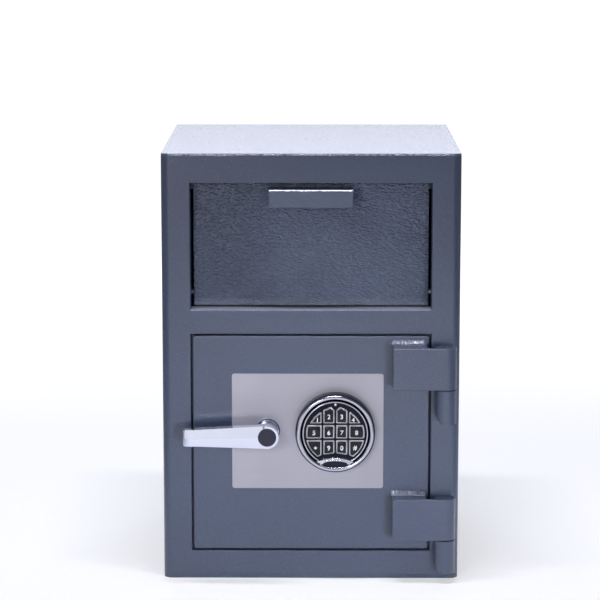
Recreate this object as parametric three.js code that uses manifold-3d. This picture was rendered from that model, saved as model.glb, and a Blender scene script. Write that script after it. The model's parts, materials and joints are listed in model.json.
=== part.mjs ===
// Front loading drop safe: a folded steel casing with a tilting deposit drawer above a hinged door.
// Millimetres. X is to the right, Y runs from front to back and Z is up.
// The origin lies under the middle of the casing, on the plane that it stands on.

import * as THREE from 'three';
import { mergeVertices } from 'three/addons/utils/BufferGeometryUtils.js';
import Module from 'manifold-3d';

const wasm = await Module();
wasm.setup();
const { Manifold, Mesh } = wasm;

// Casing sheets
const bodyWidth = 350;
const bodyDepth = 350;
const bodyHeight = 508;
const shellSheet = 4;
const bendRadius = 10;
const lidSheet = 3;
const backSheet = 3;
const floorSheet = 4;
const edgeEase = 1.5;

// Bars of the front frame, and the deposit opening; the door opening takes the height that is left
const stileWidth = 34;
const bottomBar = 34;
const middleBar = 28.7;
const depositOpeningHeight = 149.3;
const topBar = 34.7;

// Anchor holes in the floor plate
const anchorRadius = 6.5;
const anchorSpanX = 220;
const anchorSpanY = 200;

// Deposit drawer front and its pivots
const panelSetback = 25;
const panelSheet = 4;
const panelSideGap = 2.7;
const panelBottomGap = 1.8;
const panelTopGap = 2.1;
const panelEase = 1;
const pivotRise = 17;
const pinRadius = 3.5;
const pinHeadRadius = 6;
const pinHeadThickness = 2.7;
const pinPanelGap = 0.5;

// Deposit drawer pull
const pullWidth = 98;
const pullDrop = 8.3;
const pullLip = 20.6;
const pullProud = 4;
const pullSheet = 4;
const pullBend = 4;
const pullEase = 1;

// Deposit drawer tray and cheeks
const traySheet = 2.5;
const trayFlange = 24;
const trayLip = 8;
const trayDropDegrees = 10;
const drawerTiltDegrees = 50;
const cheekTopGap = 12.3;
const cheekSheet = 3;
const cheekMargin = 12;
const cheekSideGap = 5;

// Deposit housing
const housingSheet = 3;
const housingTailDegrees = 12;
const sillDepth = 23.5;
const sillLip = 13;
const hoodSheet = 2.5;
const hoodClearance = 2.5;
const hoodTopGap = 9;
const hoodLowDegrees = 22;
const hoodLip = 12;
const stopRib = 6.5;
const stopRibWidth = 6;
const stopRibGap = 1.2;
const stopBarGap = 2;
const bufferThickness = 3;
const bufferHeight = 13;
const bufferEndGap = 11;

// Baffle under the drawer
const baffleSheet = 2.5;
const baffleSlopeDegrees = 18;
const baffleRun = 282;
const baffleFlangeGap = 1.7;
const baffleDrop = 11;
const toothPitch = 12;
const toothDepth = 9;

// Door opening frame
const jambSheet = 3;
const jambLip = 14;
const jambGap = 0.8;

// Door plate
const doorThickness = 12.7;
const doorGap = 2;
const doorEase = 1.5;
const doorCorner = 3;
const deadBarWidth = 31;
const deadBarThickness = 12;
const deadBarHook = 8.5;
const deadBarMargin = 20;

// Hinges
const hingeInset = 17;
const barrelGap = 0.5;
const barrelRadius = 12.5;
const hingePinRadius = 5;
const hingePinCap = 7;
const strapHeight = 50;
const strapReach = 62;
const strapPlate = 6;
const strapEase = 1.2;
const padEdgeGap = 2.5;
const upperStrapMargin = 10.6;
const lowerStrapMargin = 16;
const knuckleHeight = 40;
const knuckleGap = 0.7;
const knuckleFoot = 12;
const knuckleTaperWidth = 7;
const knuckleTaperHeight = 12;

// Lock plate on the door
const lockPlateLeft = 93;
const lockPlateWidth = 178.5;
const lockPlateHeight = 138;
const lockPlateSheet = 1.5;
const lockPlateCorner = 3;
const lockLineInPlate = 69.7;
const lockLineRise = 15.35;

// Lever handle
const leverOffset = 51;
const leverHub = 13.3;
const leverLength = 98.3;
const leverThickness = 14;
const leverStandoff = 40;
const leverTipTop = 8;
const leverTipBottom = 12;
const leverBendLength = 11;
const leverBendDepth = 4.5;
const leverEase = 2;
const leverTipCornerShare = 1.25;
const neckRadius = 11;
const neckFlare = 0.8;
const collarWidth = 2.4;
const collarThickness = 2;
const capRadius = 10.8;
const capProud = 0.6;
const capRecess = 1.2;
const spindleRadius = 6;
const spindleSocket = 18;

// Drive cam
const camHub = 11;
const camTip = 6.5;
const camThrow = 14;
const camPinRadius = 3;
const camTurnDegrees = 60;
const camFrontGap = 1.5;
const camCarrierGap = 1.3;

// Bolts and carrier
const boltRadius = 8;
const boltEndMargin = 27.65;
const boltLength = 29;
const boltTipGap = 6;
const boltTaper = 1.5;
const carrierThickness = 10;
const carrierBar = 12;
const boltLipGap = 1;
const carrierMargin = 4.35;
const carrierArm = 20;
const carrierArmRise = 4;
const slotMargin = 0.5;
const bracketSheet = 4;
const bracketFoot = 22;
const bracketFootSheet = 3;
const bracketProud = 5;

// Lock body
const lockWidth = 65;
const lockHeight = 85;
const lockDepth = 32;
const lockDrop = 45;
const lockInset = 34.6;
const lockEase = 1.5;
const lockBoltHeight = 24;
const lockBoltThickness = 9;
const lockBoltLength = 45;
const lockBoltGap = 1;
const batteryWidth = 48.5;
const batteryHeight = 26.5;
const batteryDepth = 17.5;
const batteryCorner = 1.5;

// Door pan
const panDepth = 41.8;
const panSheet = 1.5;
const panEndMargin = 26;
const panRightMargin = 27;

// Keypad
const keypadOffset = 28.6;
const keypadRadius = 46.75;
const keypadDepth = 18.5;
const bezelWall = 3.45;
const bezelShoulder = 11.5;
const bezelCrestInset = 3.15;
const bezelGrooveInset = 5.55;
const bezelGrooveDepth = 1.9;
const bezelInnerCrestInset = 8.25;
const bezelInnerCrestDepth = 0.8;
const bezelLipInset = 9.45;
const bezelLipDepth = 3;
const faceFit = 0.6;
const faceSheet = 2.5;
const baseRim = 6;
const baseFloor = 2;
const baseShelf = 4;
const boardFit = 0.4;
const boardSheet = 1.6;
const crescentTopMargin = 8.4;
const crescentHalf = 22.5;
const crescentProud = 2.2;
const badgeWidth = 33.4;
const badgeHeight = 8.4;
const badgeMargin = 4.8;
const badgeRecess = 1;
const badgeSheet = 0.8;
const lightRadius = 1.3;
const lightMargin = 2.7;
const lightProud = 0.5;
const cableRadius = 2.5;
const cableHole = 5;

// Keys
const keyWidth = 13.2;
const keyHeight = 16.2;
const keyGap = 1.9;
const keyRowRise = 2.3;
const keyFieldMargin = 3;
const keyLowFieldMargin = 2.3;
const keyProud = 1.6;
const keyTravel = 1.2;
const keyTail = 1.1;
const keyChamfer = 0.9;
const keyPeakMargin = 2;
const keyPeakShare = 1 / 3;
const keyShoulderMargin = 6;
const keyTopOuterReachMargin = 4.5;
const keyTopOuterMargin = 8.1;
const keyTopOuterLand = 1.5;
const keyBottomPointMargin = 7;
const keyBottomOuterMargin = 9.2;
const keyBottomFarMargin = 9.6;
const keyBottomNearMargin = 11.4;

// Clearances, overrun of cuts, and counts
const fixedFit = 0.1;
const runningFit = 0.3;
const seatGap = 0.3;
const overrun = 2;
const fineSteps = 48;
const roundSteps = 28;
const smallSteps = 16;
const bendSteps = 6;
const tightSteps = 2;
const fieldSteps = 4;
const hoodSteps = 18;

// A rounded edge, as shares of its radius: depth below the face and inset from the side
const easeShares = [
  [1, 0],
  [0.293, 0.293],
  [0, 1],
];

// Places that several pieces share
const front = -bodyDepth / 2;
const back = bodyDepth / 2;
const side = bodyWidth / 2;
const innerSide = side - shellSheet;
const frameBack = front + shellSheet;
const innerBend = bendRadius - shellSheet;
const shellTop = bodyHeight - lidSheet;
const openingHalf = side - stileWidth;
const depositHigh = bodyHeight - topBar;
const depositLow = depositHigh - depositOpeningHeight;
const doorOpeningLow = bottomBar;
const doorOpeningHigh = depositLow - middleBar;

const panelFront = front + panelSetback;
const panelBack = panelFront + panelSheet;
const pivotY = panelBack + pinPanelGap + pinRadius;
const pivotZ = depositLow + pivotRise;
const cheekOuter = openingHalf - cheekSideGap;
const cheekInner = cheekOuter - cheekSheet;
const cheekRadius = depositHigh - cheekTopGap - pivotZ;
const hoodOuter = shellTop - hoodTopGap - pivotZ;
const hoodInner = hoodOuter - hoodSheet;
const trayReach = hoodInner - hoodClearance;
const housingOuter = openingHalf + housingSheet;

const doorHalf = openingHalf - doorGap;
const doorLow = doorOpeningLow + doorGap;
const doorHigh = doorOpeningHigh - doorGap;
const doorBack = front + doorThickness;
const hingeX = side - hingeInset;
const hingeY = front - barrelGap - barrelRadius;

const doorMiddle = (doorLow + doorHigh) / 2;
const lockLine = doorMiddle + lockLineRise;
const lockPlateLow = lockLine - lockLineInPlate;
const lockPlateFront = front - lockPlateSheet;
const leverX = -leverOffset;
const leverTipCorner = leverEase * leverTipCornerShare;
const leverFront = front - leverStandoff;
const leverBack = leverFront + leverThickness;

const jambLipFront = doorBack + jambGap;
const jambLipBack = jambLipFront + jambSheet;
const boltY = jambLipBack + boltLipGap + boltRadius;
const carrierFront = boltY - carrierThickness / 2;
const carrierBack = carrierFront + carrierThickness;
const camFront = doorBack + camFrontGap;
const camBack = carrierFront - camCarrierGap;
const boltTip = -(openingHalf - jambLip - boltTipGap);
const carrierLeft = boltTip + boltLength;
const bracketLeft = boltTip + bracketProud;
const bracketRight = bracketLeft + bracketSheet;
const panLow = doorLow + panEndMargin;
const panHigh = doorHigh - panEndMargin;
const boltSpacing = (panHigh - panLow) / 2 - boltEndMargin;
const panBack = doorBack + panDepth;
const panRight = doorHalf - panRightMargin;

const keypadX = keypadOffset;
const lockLeft = keypadX - lockInset;
const lockRight = lockLeft + lockWidth;
const lockLow = lockLine - lockDrop;
const lockBoltMiddle = lockLine + carrierArmRise + carrierArm / 2;

const bezelBore = keypadRadius - bezelWall;
const bezelCrest = keypadRadius - bezelCrestInset;
const bezelGroove = keypadRadius - bezelGrooveInset;
const bezelInnerCrest = keypadRadius - bezelInnerCrestInset;
const bezelLip = keypadRadius - bezelLipInset;
const baseRadius = bezelBore - seatGap;
const baseBore = baseRadius - baseRim;
const keypadFront = lockPlateFront - keypadDepth;
const faceFront = keypadFront + bezelLipDepth;
const faceBack = faceFront + faceSheet;
const keyBack = faceBack + keyTail;
const boardFront = keyBack + keyTravel + seatGap;
const boardBack = boardFront + boardSheet;

// Views: an outline drawn in two directions is carried along the third.
const plan = (u, v, at) => [u, v, at];
const frontView = (u, v, at) => [u, at, v];
const sideView = (u, v, at) => [at, u, v];

const radians = THREE.MathUtils.degToRad;

// Closed triangles become a solid, turned to face outwards.
function solidOf(positions, triangles) {
  const geometry = new THREE.BufferGeometry();
  geometry.setAttribute('position', new THREE.Float32BufferAttribute(positions, 3));
  geometry.setIndex(triangles);
  const merged = mergeVertices(geometry);
  const corners = merged.attributes.position.array;
  const index = Uint32Array.from(merged.index.array);
  const made = new Manifold(new Mesh({ numProp: 3, vertProperties: corners, triVerts: index }));
  if (made.volume() > 0) return made;
  const turned = Uint32Array.from(index);
  for (let i = 0; i < turned.length; i += 3) {
    turned[i + 1] = index[i + 2];
    turned[i + 2] = index[i + 1];
  }
  return new Manifold(new Mesh({ numProp: 3, vertProperties: corners, triVerts: turned }));
}

const signedArea = (outline) => THREE.ShapeUtils.area(outline.map(([x, y]) => ({ x, y })));

// A solid through outlines of equal count, each with its place along the view.
function stack(drawn, view) {
  const reversed = () => drawn.map(({ outline, at }) => ({ outline: outline.toReversed(), at }));
  const levels = signedArea(drawn[0].outline) < 0 ? reversed() : drawn;
  const count = levels[0].outline.length;
  const positions = [];
  const triangles = [];
  for (const { outline, at } of levels) {
    for (const [u, v] of outline) positions.push(...view(u, v, at));
  }
  for (let level = 0; level + 1 < levels.length; level++) {
    const low = level * count;
    const high = low + count;
    for (let i = 0; i < count; i++) {
      const next = (i + 1) % count;
      triangles.push(low + i, low + next, high + next);
      triangles.push(low + i, high + next, high + i);
    }
  }
  const capOf = (outline) => {
    const points = outline.map(([u, v]) => new THREE.Vector2(u, v));
    return THREE.ShapeUtils.triangulateShape(points, []);
  };
  const last = (levels.length - 1) * count;
  for (const [a, b, c] of capOf(levels[0].outline)) triangles.push(c, b, a);
  for (const [a, b, c] of capOf(levels.at(-1).outline)) triangles.push(last + a, last + b, last + c);
  return solidOf(positions, triangles);
}

const slab = (outline, from, to, view) => stack([{ outline, at: from }, { outline, at: to }], view);

const block = (x0, x1, y0, y1, z0, z1) => slab(rectangle(x0, x1, y0, y1), z0, z1, plan);

const rectangle = (u0, u1, v0, v1) => [
  [u0, v0],
  [u1, v0],
  [u1, v1],
  [u0, v1],
];

// Points on an arc, from one angle to another, both included.
function arc(u, v, radius, from, to, steps) {
  const points = [];
  for (let i = 0; i <= steps; i++) {
    const angle = from + ((to - from) * i) / steps;
    points.push([u + radius * Math.cos(angle), v + radius * Math.sin(angle)]);
  }
  return points;
}

const circle = (u, v, radius, steps) => arc(u, v, radius, 0, 2 * Math.PI, steps).slice(1);

function roundedRectangle(u0, u1, v0, v1, radius, steps) {
  const quarter = Math.PI / 2;
  return [
    ...arc(u1 - radius, v0 + radius, radius, -quarter, 0, steps),
    ...arc(u1 - radius, v1 - radius, radius, 0, quarter, steps),
    ...arc(u0 + radius, v1 - radius, radius, quarter, 2 * quarter, steps),
    ...arc(u0 + radius, v0 + radius, radius, 2 * quarter, 3 * quarter, steps),
  ];
}

// The outline moved inwards, or outwards where the distance is negative.
function inset(outline, distance) {
  const count = outline.length;
  const turn = Math.sign(signedArea(outline));
  return outline.map(([u, v], i) => {
    const [pu, pv] = outline[(i + count - 1) % count];
    const [nu, nv] = outline[(i + 1) % count];
    const before = new THREE.Vector2(u - pu, v - pv).normalize();
    const after = new THREE.Vector2(nu - u, nv - v).normalize();
    const middle = new THREE.Vector2(-(before.y + after.y), before.x + after.x).normalize();
    const reach = (turn * distance) / (middle.x * -before.y + middle.y * before.x);
    return [u + middle.x * reach, v + middle.y * reach];
  });
}

// A slab whose edges are rounded at its far face, and at its near face too where both is true.
function easedSlab(outline, from, to, ease, view, both = false) {
  const way = Math.sign(to - from);
  const levels = easeShares.map(([depthShare, insetShare]) => ({
    outline: inset(outline, ease * insetShare),
    at: to - way * ease * depthShare,
  }));
  if (!both) return stack([{ outline, at: from }, ...levels], view);
  const near = easeShares.toReversed().map(([depthShare, insetShare]) => ({
    outline: inset(outline, ease * insetShare),
    at: from + way * ease * depthShare,
  }));
  return stack([...near, ...levels], view);
}

// A turned solid from its radii along the view, and a plain round bar.
function turned(u, v, radii, steps, view) {
  return stack(radii.map(([radius, at]) => ({ outline: circle(u, v, radius, steps), at })), view);
}

const rod = (u, v, radius, from, to, steps, view) => slab(circle(u, v, radius, steps), from, to, view);

// A ring turned about the Y direction from a closed profile of radius and Y.
function ring(x, z, profile, steps) {
  const points = [...profile, profile[0]].map(([radius, y]) => new THREE.Vector2(radius, y));
  const geometry = new THREE.LatheGeometry(points, steps);
  geometry.deleteAttribute('normal');
  geometry.deleteAttribute('uv');
  geometry.translate(x, 0, z);
  return solidOf(geometry.attributes.position.array, Array.from(geometry.index.array));
}

const join = (...solids) => Manifold.union(solids);
const cut = (solid, ...tools) => solid.subtract(Manifold.union(tools));

// Finishes
const finish = (color, roughness, metalness) => ({ color, roughness, metalness });
const bodyPaint = finish(0x565e70, 0.5, 0.1);
const panelPaint = finish(0x4d5567, 0.6, 0.1);
const brushedSteel = finish(0xaeabb6, 0.4, 0.9);
const chrome = finish(0xe4e5ee, 0.12, 1);
const zincSteel = finish(0xa9abb0, 0.4, 0.9);
const plainSteel = finish(0x8d9095, 0.45, 0.9);
const blackPlastic = finish(0x1c1c26, 0.4, 0);
const keyRubber = finish(0x23232f, 0.55, 0);
const blackRubber = finish(0x1d1d1f, 0.8, 0);
const boardGreen = finish(0x1f5a3a, 0.5, 0);
const lightLens = finish(0xd8d8e0, 0.3, 0);

const safe = new THREE.Group();

function add(name, solid, look) {
  const { vertProperties, triVerts } = solid.getMesh();
  const indexed = new THREE.BufferGeometry();
  indexed.setAttribute('position', new THREE.BufferAttribute(vertProperties, 3));
  indexed.setIndex(new THREE.BufferAttribute(triVerts, 1));
  const geometry = indexed.toNonIndexed();
  geometry.computeVertexNormals();
  const mesh = new THREE.Mesh(geometry, new THREE.MeshStandardMaterial(look));
  mesh.name = name;
  safe.add(mesh);
}

// Casing

// A cutter for a front opening whose outer edge is rounded.
function openingCutter(low, high) {
  const hole = rectangle(-openingHalf, openingHalf, low, high);
  const levels = easeShares.map(([depthShare, insetShare]) => ({
    outline: inset(hole, -edgeEase * insetShare),
    at: front + edgeEase * depthShare,
  }));
  const outside = { outline: levels.at(-1).outline, at: front - overrun };
  return stack([{ outline: hole, at: frameBack + overrun }, ...levels, outside], frontView);
}

// The front corners of the casing seen from above, from left to right, at a bend of that radius.
function frontCorners(radius) {
  const bend = Math.PI / 2;
  const cornerX = side - bendRadius;
  const cornerY = front + bendRadius;
  return [
    ...arc(-cornerX, cornerY, radius, -2 * bend, -bend, bendSteps),
    ...arc(cornerX, cornerY, radius, -bend, 0, bendSteps),
  ];
}

function casingWrap() {
  const outline = [
    [side, back],
    [innerSide, back],
    ...frontCorners(innerBend).toReversed(),
    [-innerSide, back],
    [-side, back],
    ...frontCorners(bendRadius),
  ];
  const sheet = slab(outline, 0, shellTop, plan);
  return cut(sheet, openingCutter(doorOpeningLow, doorOpeningHigh), openingCutter(depositLow, depositHigh));
}

function topPlate() {
  const outline = [[side, back], [-side, back], ...frontCorners(bendRadius)];
  return easedSlab(outline, shellTop, bodyHeight, edgeEase, plan);
}

function floorPlate() {
  const outline = [[innerSide, back], [-innerSide, back], ...frontCorners(innerBend)];
  const sheet = slab(outline, 0, floorSheet, plan);
  const holes = [];
  for (const x of [-anchorSpanX / 2, anchorSpanX / 2]) {
    for (const y of [-anchorSpanY / 2, anchorSpanY / 2]) {
      holes.push(rod(x, y, anchorRadius, -overrun, floorSheet + overrun, roundSteps, plan));
    }
  }
  return cut(sheet, ...holes);
}

add('casing_wrap', casingWrap(), bodyPaint);
add('top_plate', topPlate(), bodyPaint);
add('back_plate', block(-innerSide, innerSide, back - backSheet, back, floorSheet, shellTop), bodyPaint);
add('floor_plate', floorPlate(), bodyPaint);

// Deposit housing

function housingSide(way) {
  const outline = [
    [frameBack, depositLow - housingSheet],
    [frameBack, pivotZ + hoodOuter],
    ...arc(pivotY, pivotZ, hoodOuter, Math.PI / 2, -radians(housingTailDegrees), hoodSteps),
  ];
  const plate = slab(outline, way * openingHalf, way * housingOuter, sideView);
  const inside = way * (openingHalf - overrun);
  const outside = way * (housingOuter + overrun);
  return cut(plate, rod(pivotY, pivotZ, pinRadius + runningFit, inside, outside, roundSteps, sideView));
}

function drawerSill() {
  const rear = frameBack + sillDepth;
  const under = depositLow - housingSheet;
  const outline = [
    [frameBack, depositLow],
    [frameBack, under],
    [rear - housingSheet, under],
    [rear - housingSheet, depositLow - sillLip],
    [rear, depositLow - sillLip],
    [rear, depositLow],
  ];
  return slab(outline, -openingHalf, openingHalf, sideView);
}

const bufferFront = panelBack + seatGap;
const stopBarFront = bufferFront + bufferThickness;
const stopBarBack = stopBarFront + hoodSheet;
const stopBarLow = pivotZ + cheekRadius + stopBarGap;

// Roof, quarter round back, outer lip, stop rib for the open drawer and stop bar for the shut one.
function hopperHood() {
  const low = radians(hoodLowDegrees);
  const lipAngle = low + hoodSheet / hoodOuter;
  const ribLow = radians(drawerTiltDegrees - trayDropDegrees) + (traySheet / 2 + stopRibGap) / trayReach;
  const ribHigh = ribLow + stopRibWidth / hoodInner;
  const barAngle = Math.acos((stopBarBack - pivotY) / hoodInner);
  const at = (radius, angle) => [pivotY + radius * Math.cos(angle), pivotZ + radius * Math.sin(angle)];
  const outline = [
    [frameBack, pivotZ + hoodInner],
    [frameBack, pivotZ + hoodOuter],
    ...arc(pivotY, pivotZ, hoodOuter, Math.PI / 2, lipAngle, hoodSteps),
    at(hoodOuter + hoodLip, lipAngle),
    at(hoodOuter + hoodLip, low),
    at(hoodInner, low),
    at(hoodInner, ribLow),
    at(hoodInner - stopRib, ribLow),
    at(hoodInner - stopRib, ribHigh),
    ...arc(pivotY, pivotZ, hoodInner, ribHigh, barAngle, hoodSteps),
    [stopBarBack, stopBarLow],
    [stopBarFront, stopBarLow],
    [stopBarFront, pivotZ + hoodInner],
  ];
  return slab(outline, -openingHalf, openingHalf, sideView);
}

function drawerBuffer() {
  const half = openingHalf - bufferEndGap;
  return block(-half, half, bufferFront, stopBarFront, stopBarLow, stopBarLow + bufferHeight);
}

// A sloping plate with a front flange and a sawtooth rear edge.
function antifishBaffle() {
  const slope = radians(baffleSlopeDegrees);
  const width = 2 * innerSide;
  const teeth = Math.floor(width / toothPitch);
  const start = -(teeth * toothPitch) / 2;
  const corner = innerSide - innerBend;
  const edge = [[corner, 0], [innerSide, 2 * innerBend], [innerSide, baffleRun]];
  for (let i = teeth; i > 0; i--) {
    edge.push([start + i * toothPitch, baffleRun]);
    edge.push([start + (i - 1 / 2) * toothPitch, baffleRun + toothDepth]);
  }
  edge.push([start, baffleRun], [-innerSide, baffleRun], [-innerSide, 2 * innerBend], [-corner, 0]);
  const top = depositLow - baffleDrop;
  const sloped = (u, v, at) => [
    u,
    frameBack + v * Math.cos(slope) + at * Math.sin(slope),
    top - v * Math.sin(slope) + at * Math.cos(slope),
  ];
  const plate = slab(edge, 0, baffleSheet, sloped);
  const low = doorOpeningHigh + jambSheet + baffleFlangeGap;
  const flange = block(-corner, corner, frameBack, frameBack + baffleSheet, low, top);
  return join(plate, flange);
}

add('housing_side_left', housingSide(-1), bodyPaint);
add('housing_side_right', housingSide(1), bodyPaint);
add('drawer_sill', drawerSill(), bodyPaint);
add('hopper_hood', hopperHood(), bodyPaint);
add('drawer_buffer', drawerBuffer(), blackRubber);
add('antifish_baffle', antifishBaffle(), zincSteel);

// Deposit drawer

const trayAngle = -radians(trayDropDegrees);

// A point along the tray, from the pivot to the rear, and above its middle plane.
const trayPoint = (along, above) => [
  pivotY + along * Math.cos(trayAngle) - above * Math.sin(trayAngle),
  pivotZ + along * Math.sin(trayAngle) + above * Math.cos(trayAngle),
];

// How far along the tray a line at that height meets a plane of constant Y.
const trayMeets = (y, above) => (y - pivotY + above * Math.sin(trayAngle)) / Math.cos(trayAngle);

function drawerFront() {
  const half = openingHalf - panelSideGap;
  const outline = rectangle(-half, half, depositLow + panelBottomGap, depositHigh - panelTopGap);
  return easedSlab(outline, panelBack, panelFront, panelEase, frontView);
}

function drawerPull() {
  const top = depositHigh - pullDrop;
  const low = top - pullLip;
  const lipFront = front - pullProud;
  const lipBack = lipFront + pullSheet;
  const half = pullWidth / 2;
  const outline = [
    [panelFront, top],
    ...arc(lipFront + pullBend, top - pullBend, pullBend, Math.PI / 2, Math.PI, bendSteps),
    [lipFront, low + pullEase],
    [lipFront + pullEase, low],
    [lipBack, low],
    [lipBack, top - pullSheet],
    [panelFront, top - pullSheet],
  ];
  return slab(outline, -half, half, sideView);
}

function drawerTray() {
  const thick = traySheet / 2;
  const end = Math.sqrt(trayReach ** 2 - trayLip ** 2);
  const flangeTop = pivotZ + trayFlange;
  const outline = [
    [panelBack, flangeTop],
    trayPoint(trayMeets(panelBack, -thick), -thick),
    trayPoint(end - traySheet, -thick),
    trayPoint(end - traySheet, -trayLip),
    trayPoint(end, -trayLip),
    trayPoint(end, thick),
    trayPoint(trayMeets(panelBack + traySheet, thick), thick),
    [panelBack + traySheet, flangeTop],
  ];
  return slab(outline, -cheekInner, cheekInner, sideView);
}

function drawerCheek(way) {
  const first = Math.PI / 2 + Math.asin((pivotY - panelBack) / cheekRadius);
  const last = trayAngle - Math.asin(cheekMargin / cheekRadius);
  const outline = [
    ...arc(pivotY, pivotZ, cheekRadius, first, last, hoodSteps),
    trayPoint(trayMeets(panelBack, -cheekMargin), -cheekMargin),
  ];
  const plate = slab(outline, way * cheekInner, way * cheekOuter, sideView);
  const inside = way * (cheekInner - overrun);
  const outside = way * (cheekOuter + overrun);
  return cut(plate, rod(pivotY, pivotZ, pinRadius + fixedFit, inside, outside, roundSteps, sideView));
}

function pivotPin(way) {
  const head = way * (housingOuter + runningFit);
  const end = head + way * pinHeadThickness;
  const shank = rod(pivotY, pivotZ, pinRadius, way * cheekInner, end, roundSteps, sideView);
  const cap = rod(pivotY, pivotZ, pinHeadRadius, head, end, roundSteps, sideView);
  return join(shank, cap);
}

add('drawer_front', drawerFront(), panelPaint);
add('drawer_pull', drawerPull(), bodyPaint);
add('drawer_tray', drawerTray(), bodyPaint);
for (const [hand, way] of [['left', -1], ['right', 1]]) {
  add(`drawer_cheek_${hand}`, drawerCheek(way), bodyPaint);
  add(`pivot_pin_${hand}`, pivotPin(way), zincSteel);
}

// Door opening frame: walls round three sides and a lip behind the door

function doorJamb() {
  const low = doorOpeningLow;
  const high = doorOpeningHigh;
  const end = openingHalf + jambSheet;
  const channel = (reach) => [
    [end, high - reach],
    [-openingHalf + reach, high - reach],
    [-openingHalf + reach, low + reach],
    [end, low + reach],
    [end, low - jambSheet],
    [-end, low - jambSheet],
    [-end, high + jambSheet],
    [end, high + jambSheet],
  ];
  const walls = slab(channel(0), frameBack, jambLipBack, frontView);
  const lip = slab(channel(jambLip), jambLipFront, jambLipBack, frontView);
  return join(walls, lip);
}

add('door_jamb', doorJamb(), bodyPaint);

// Hinges

const strapLows = {
  upper: doorHigh - upperStrapMargin - strapHeight,
  lower: doorLow + lowerStrapMargin,
};

// The strap's front plate runs on as a barrel, and its pad stands on the door.
function hingeStrap(low) {
  const plateFront = hingeY - barrelRadius;
  const plateBack = plateFront + strapPlate;
  const padRight = doorHalf - padEdgeGap;
  const left = hingeX - strapReach;
  const meet = Math.PI + Math.asin((hingeY - plateBack) / barrelRadius);
  const outline = [
    [padRight, front],
    [left, front],
    [left, plateFront],
    ...arc(hingeX, hingeY, barrelRadius, -Math.PI / 2, meet, roundSteps),
    [padRight, plateBack],
  ];
  const body = easedSlab(outline, low, low + strapHeight, strapEase, plan, true);
  const boreRadius = hingePinRadius + runningFit;
  const boreTop = low + strapHeight - hingePinCap;
  return cut(body, rod(hingeX, hingeY, boreRadius, low - overrun, boreTop, roundSteps, plan));
}

// The fixed barrel has a foot on the frame and a tapered lower corner.
function hingeKnuckle(strapLow) {
  const high = strapLow - knuckleGap;
  const low = high - knuckleHeight;
  const barrel = rod(hingeX, hingeY, barrelRadius, low, high, roundSteps, plan);
  const foot = block(hingeX - knuckleFoot / 2, hingeX + knuckleFoot / 2, hingeY, front, low, high);
  const left = hingeX - barrelRadius;
  const taper = [
    [left - overrun, low - overrun],
    [left + knuckleTaperWidth, low - overrun],
    [left + knuckleTaperWidth, low],
    [left, low + knuckleTaperHeight],
    [left - overrun, low + knuckleTaperHeight],
  ];
  const corner = slab(taper, hingeY - barrelRadius - overrun, front + overrun, frontView);
  const boreRadius = hingePinRadius + fixedFit;
  const bore = rod(hingeX, hingeY, boreRadius, low + hingePinCap, high + overrun, roundSteps, plan);
  return cut(join(barrel, foot), corner, bore);
}

function hingePin(strapLow) {
  const low = strapLow - knuckleGap - knuckleHeight + hingePinCap;
  const high = strapLow + strapHeight - hingePinCap - seatGap;
  return rod(hingeX, hingeY, hingePinRadius, low, high, roundSteps, plan);
}

for (const [level, low] of Object.entries(strapLows)) {
  add(`${level}_hinge_knuckle`, hingeKnuckle(low), bodyPaint);
  add(`${level}_hinge_pin`, hingePin(low), plainSteel);
  add(`${level}_hinge_strap`, hingeStrap(low), bodyPaint);
}

// Door plate and what is fixed to it

function doorPlate() {
  const outline = roundedRectangle(-doorHalf, doorHalf, doorLow, doorHigh, doorCorner, tightSteps);
  const plate = easedSlab(outline, doorBack, front, doorEase, frontView);
  const through = [front - overrun, doorBack + overrun];
  return cut(
    plate,
    rod(leverX, lockLine, spindleRadius + runningFit, ...through, roundSteps, frontView),
    rod(keypadX, lockLine, cableHole, ...through, smallSteps, frontView),
  );
}

function lockPlate() {
  const left = -lockPlateLeft;
  const right = left + lockPlateWidth;
  const high = lockPlateLow + lockPlateHeight;
  const outline = roundedRectangle(left, right, lockPlateLow, high, lockPlateCorner, bendSteps);
  const plate = slab(outline, front, lockPlateFront, frontView);
  const through = [lockPlateFront - overrun, front + overrun];
  return cut(
    plate,
    rod(leverX, lockLine, spindleRadius + runningFit, ...through, roundSteps, frontView),
    rod(keypadX, lockLine, cableHole, ...through, smallSteps, frontView),
  );
}

// The bar stands out past the door's edge, behind the frame on the hinge side.
function deadBar() {
  const right = openingHalf + deadBarHook;
  const low = doorLow + deadBarMargin;
  const high = doorHigh - deadBarMargin;
  return block(right - deadBarWidth, right, doorBack, doorBack + deadBarThickness, low, high);
}

const boltHeights = {
  upper: doorMiddle + boltSpacing,
  middle: doorMiddle,
  lower: doorMiddle - boltSpacing,
};

function boltBracket() {
  const low = panLow + panSheet + seatGap;
  const high = panHigh - panSheet - seatGap;
  const wall = block(bracketLeft, bracketRight, doorBack, panBack, low, high);
  const footBack = doorBack + bracketFootSheet;
  const foot = block(bracketLeft, bracketLeft + bracketFoot, doorBack, footBack, low, high);
  const inside = bracketLeft - overrun;
  const holes = Object.values(boltHeights).map((z) =>
    rod(boltY, z, boltRadius + runningFit, inside, bracketRight + overrun, roundSteps, sideView),
  );
  return cut(join(wall, foot), ...holes);
}

// A folded cover with three walls that stand on the door, open towards the bolts.
function doorPan() {
  const shell = block(bracketRight, panRight, doorBack, panBack, panLow, panHigh);
  const inner = panSheet;
  const hollow = block(
    bracketRight - overrun,
    panRight - inner,
    doorBack - overrun,
    panBack - inner,
    panLow + inner,
    panHigh - inner,
  );
  return cut(shell, hollow);
}

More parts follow.
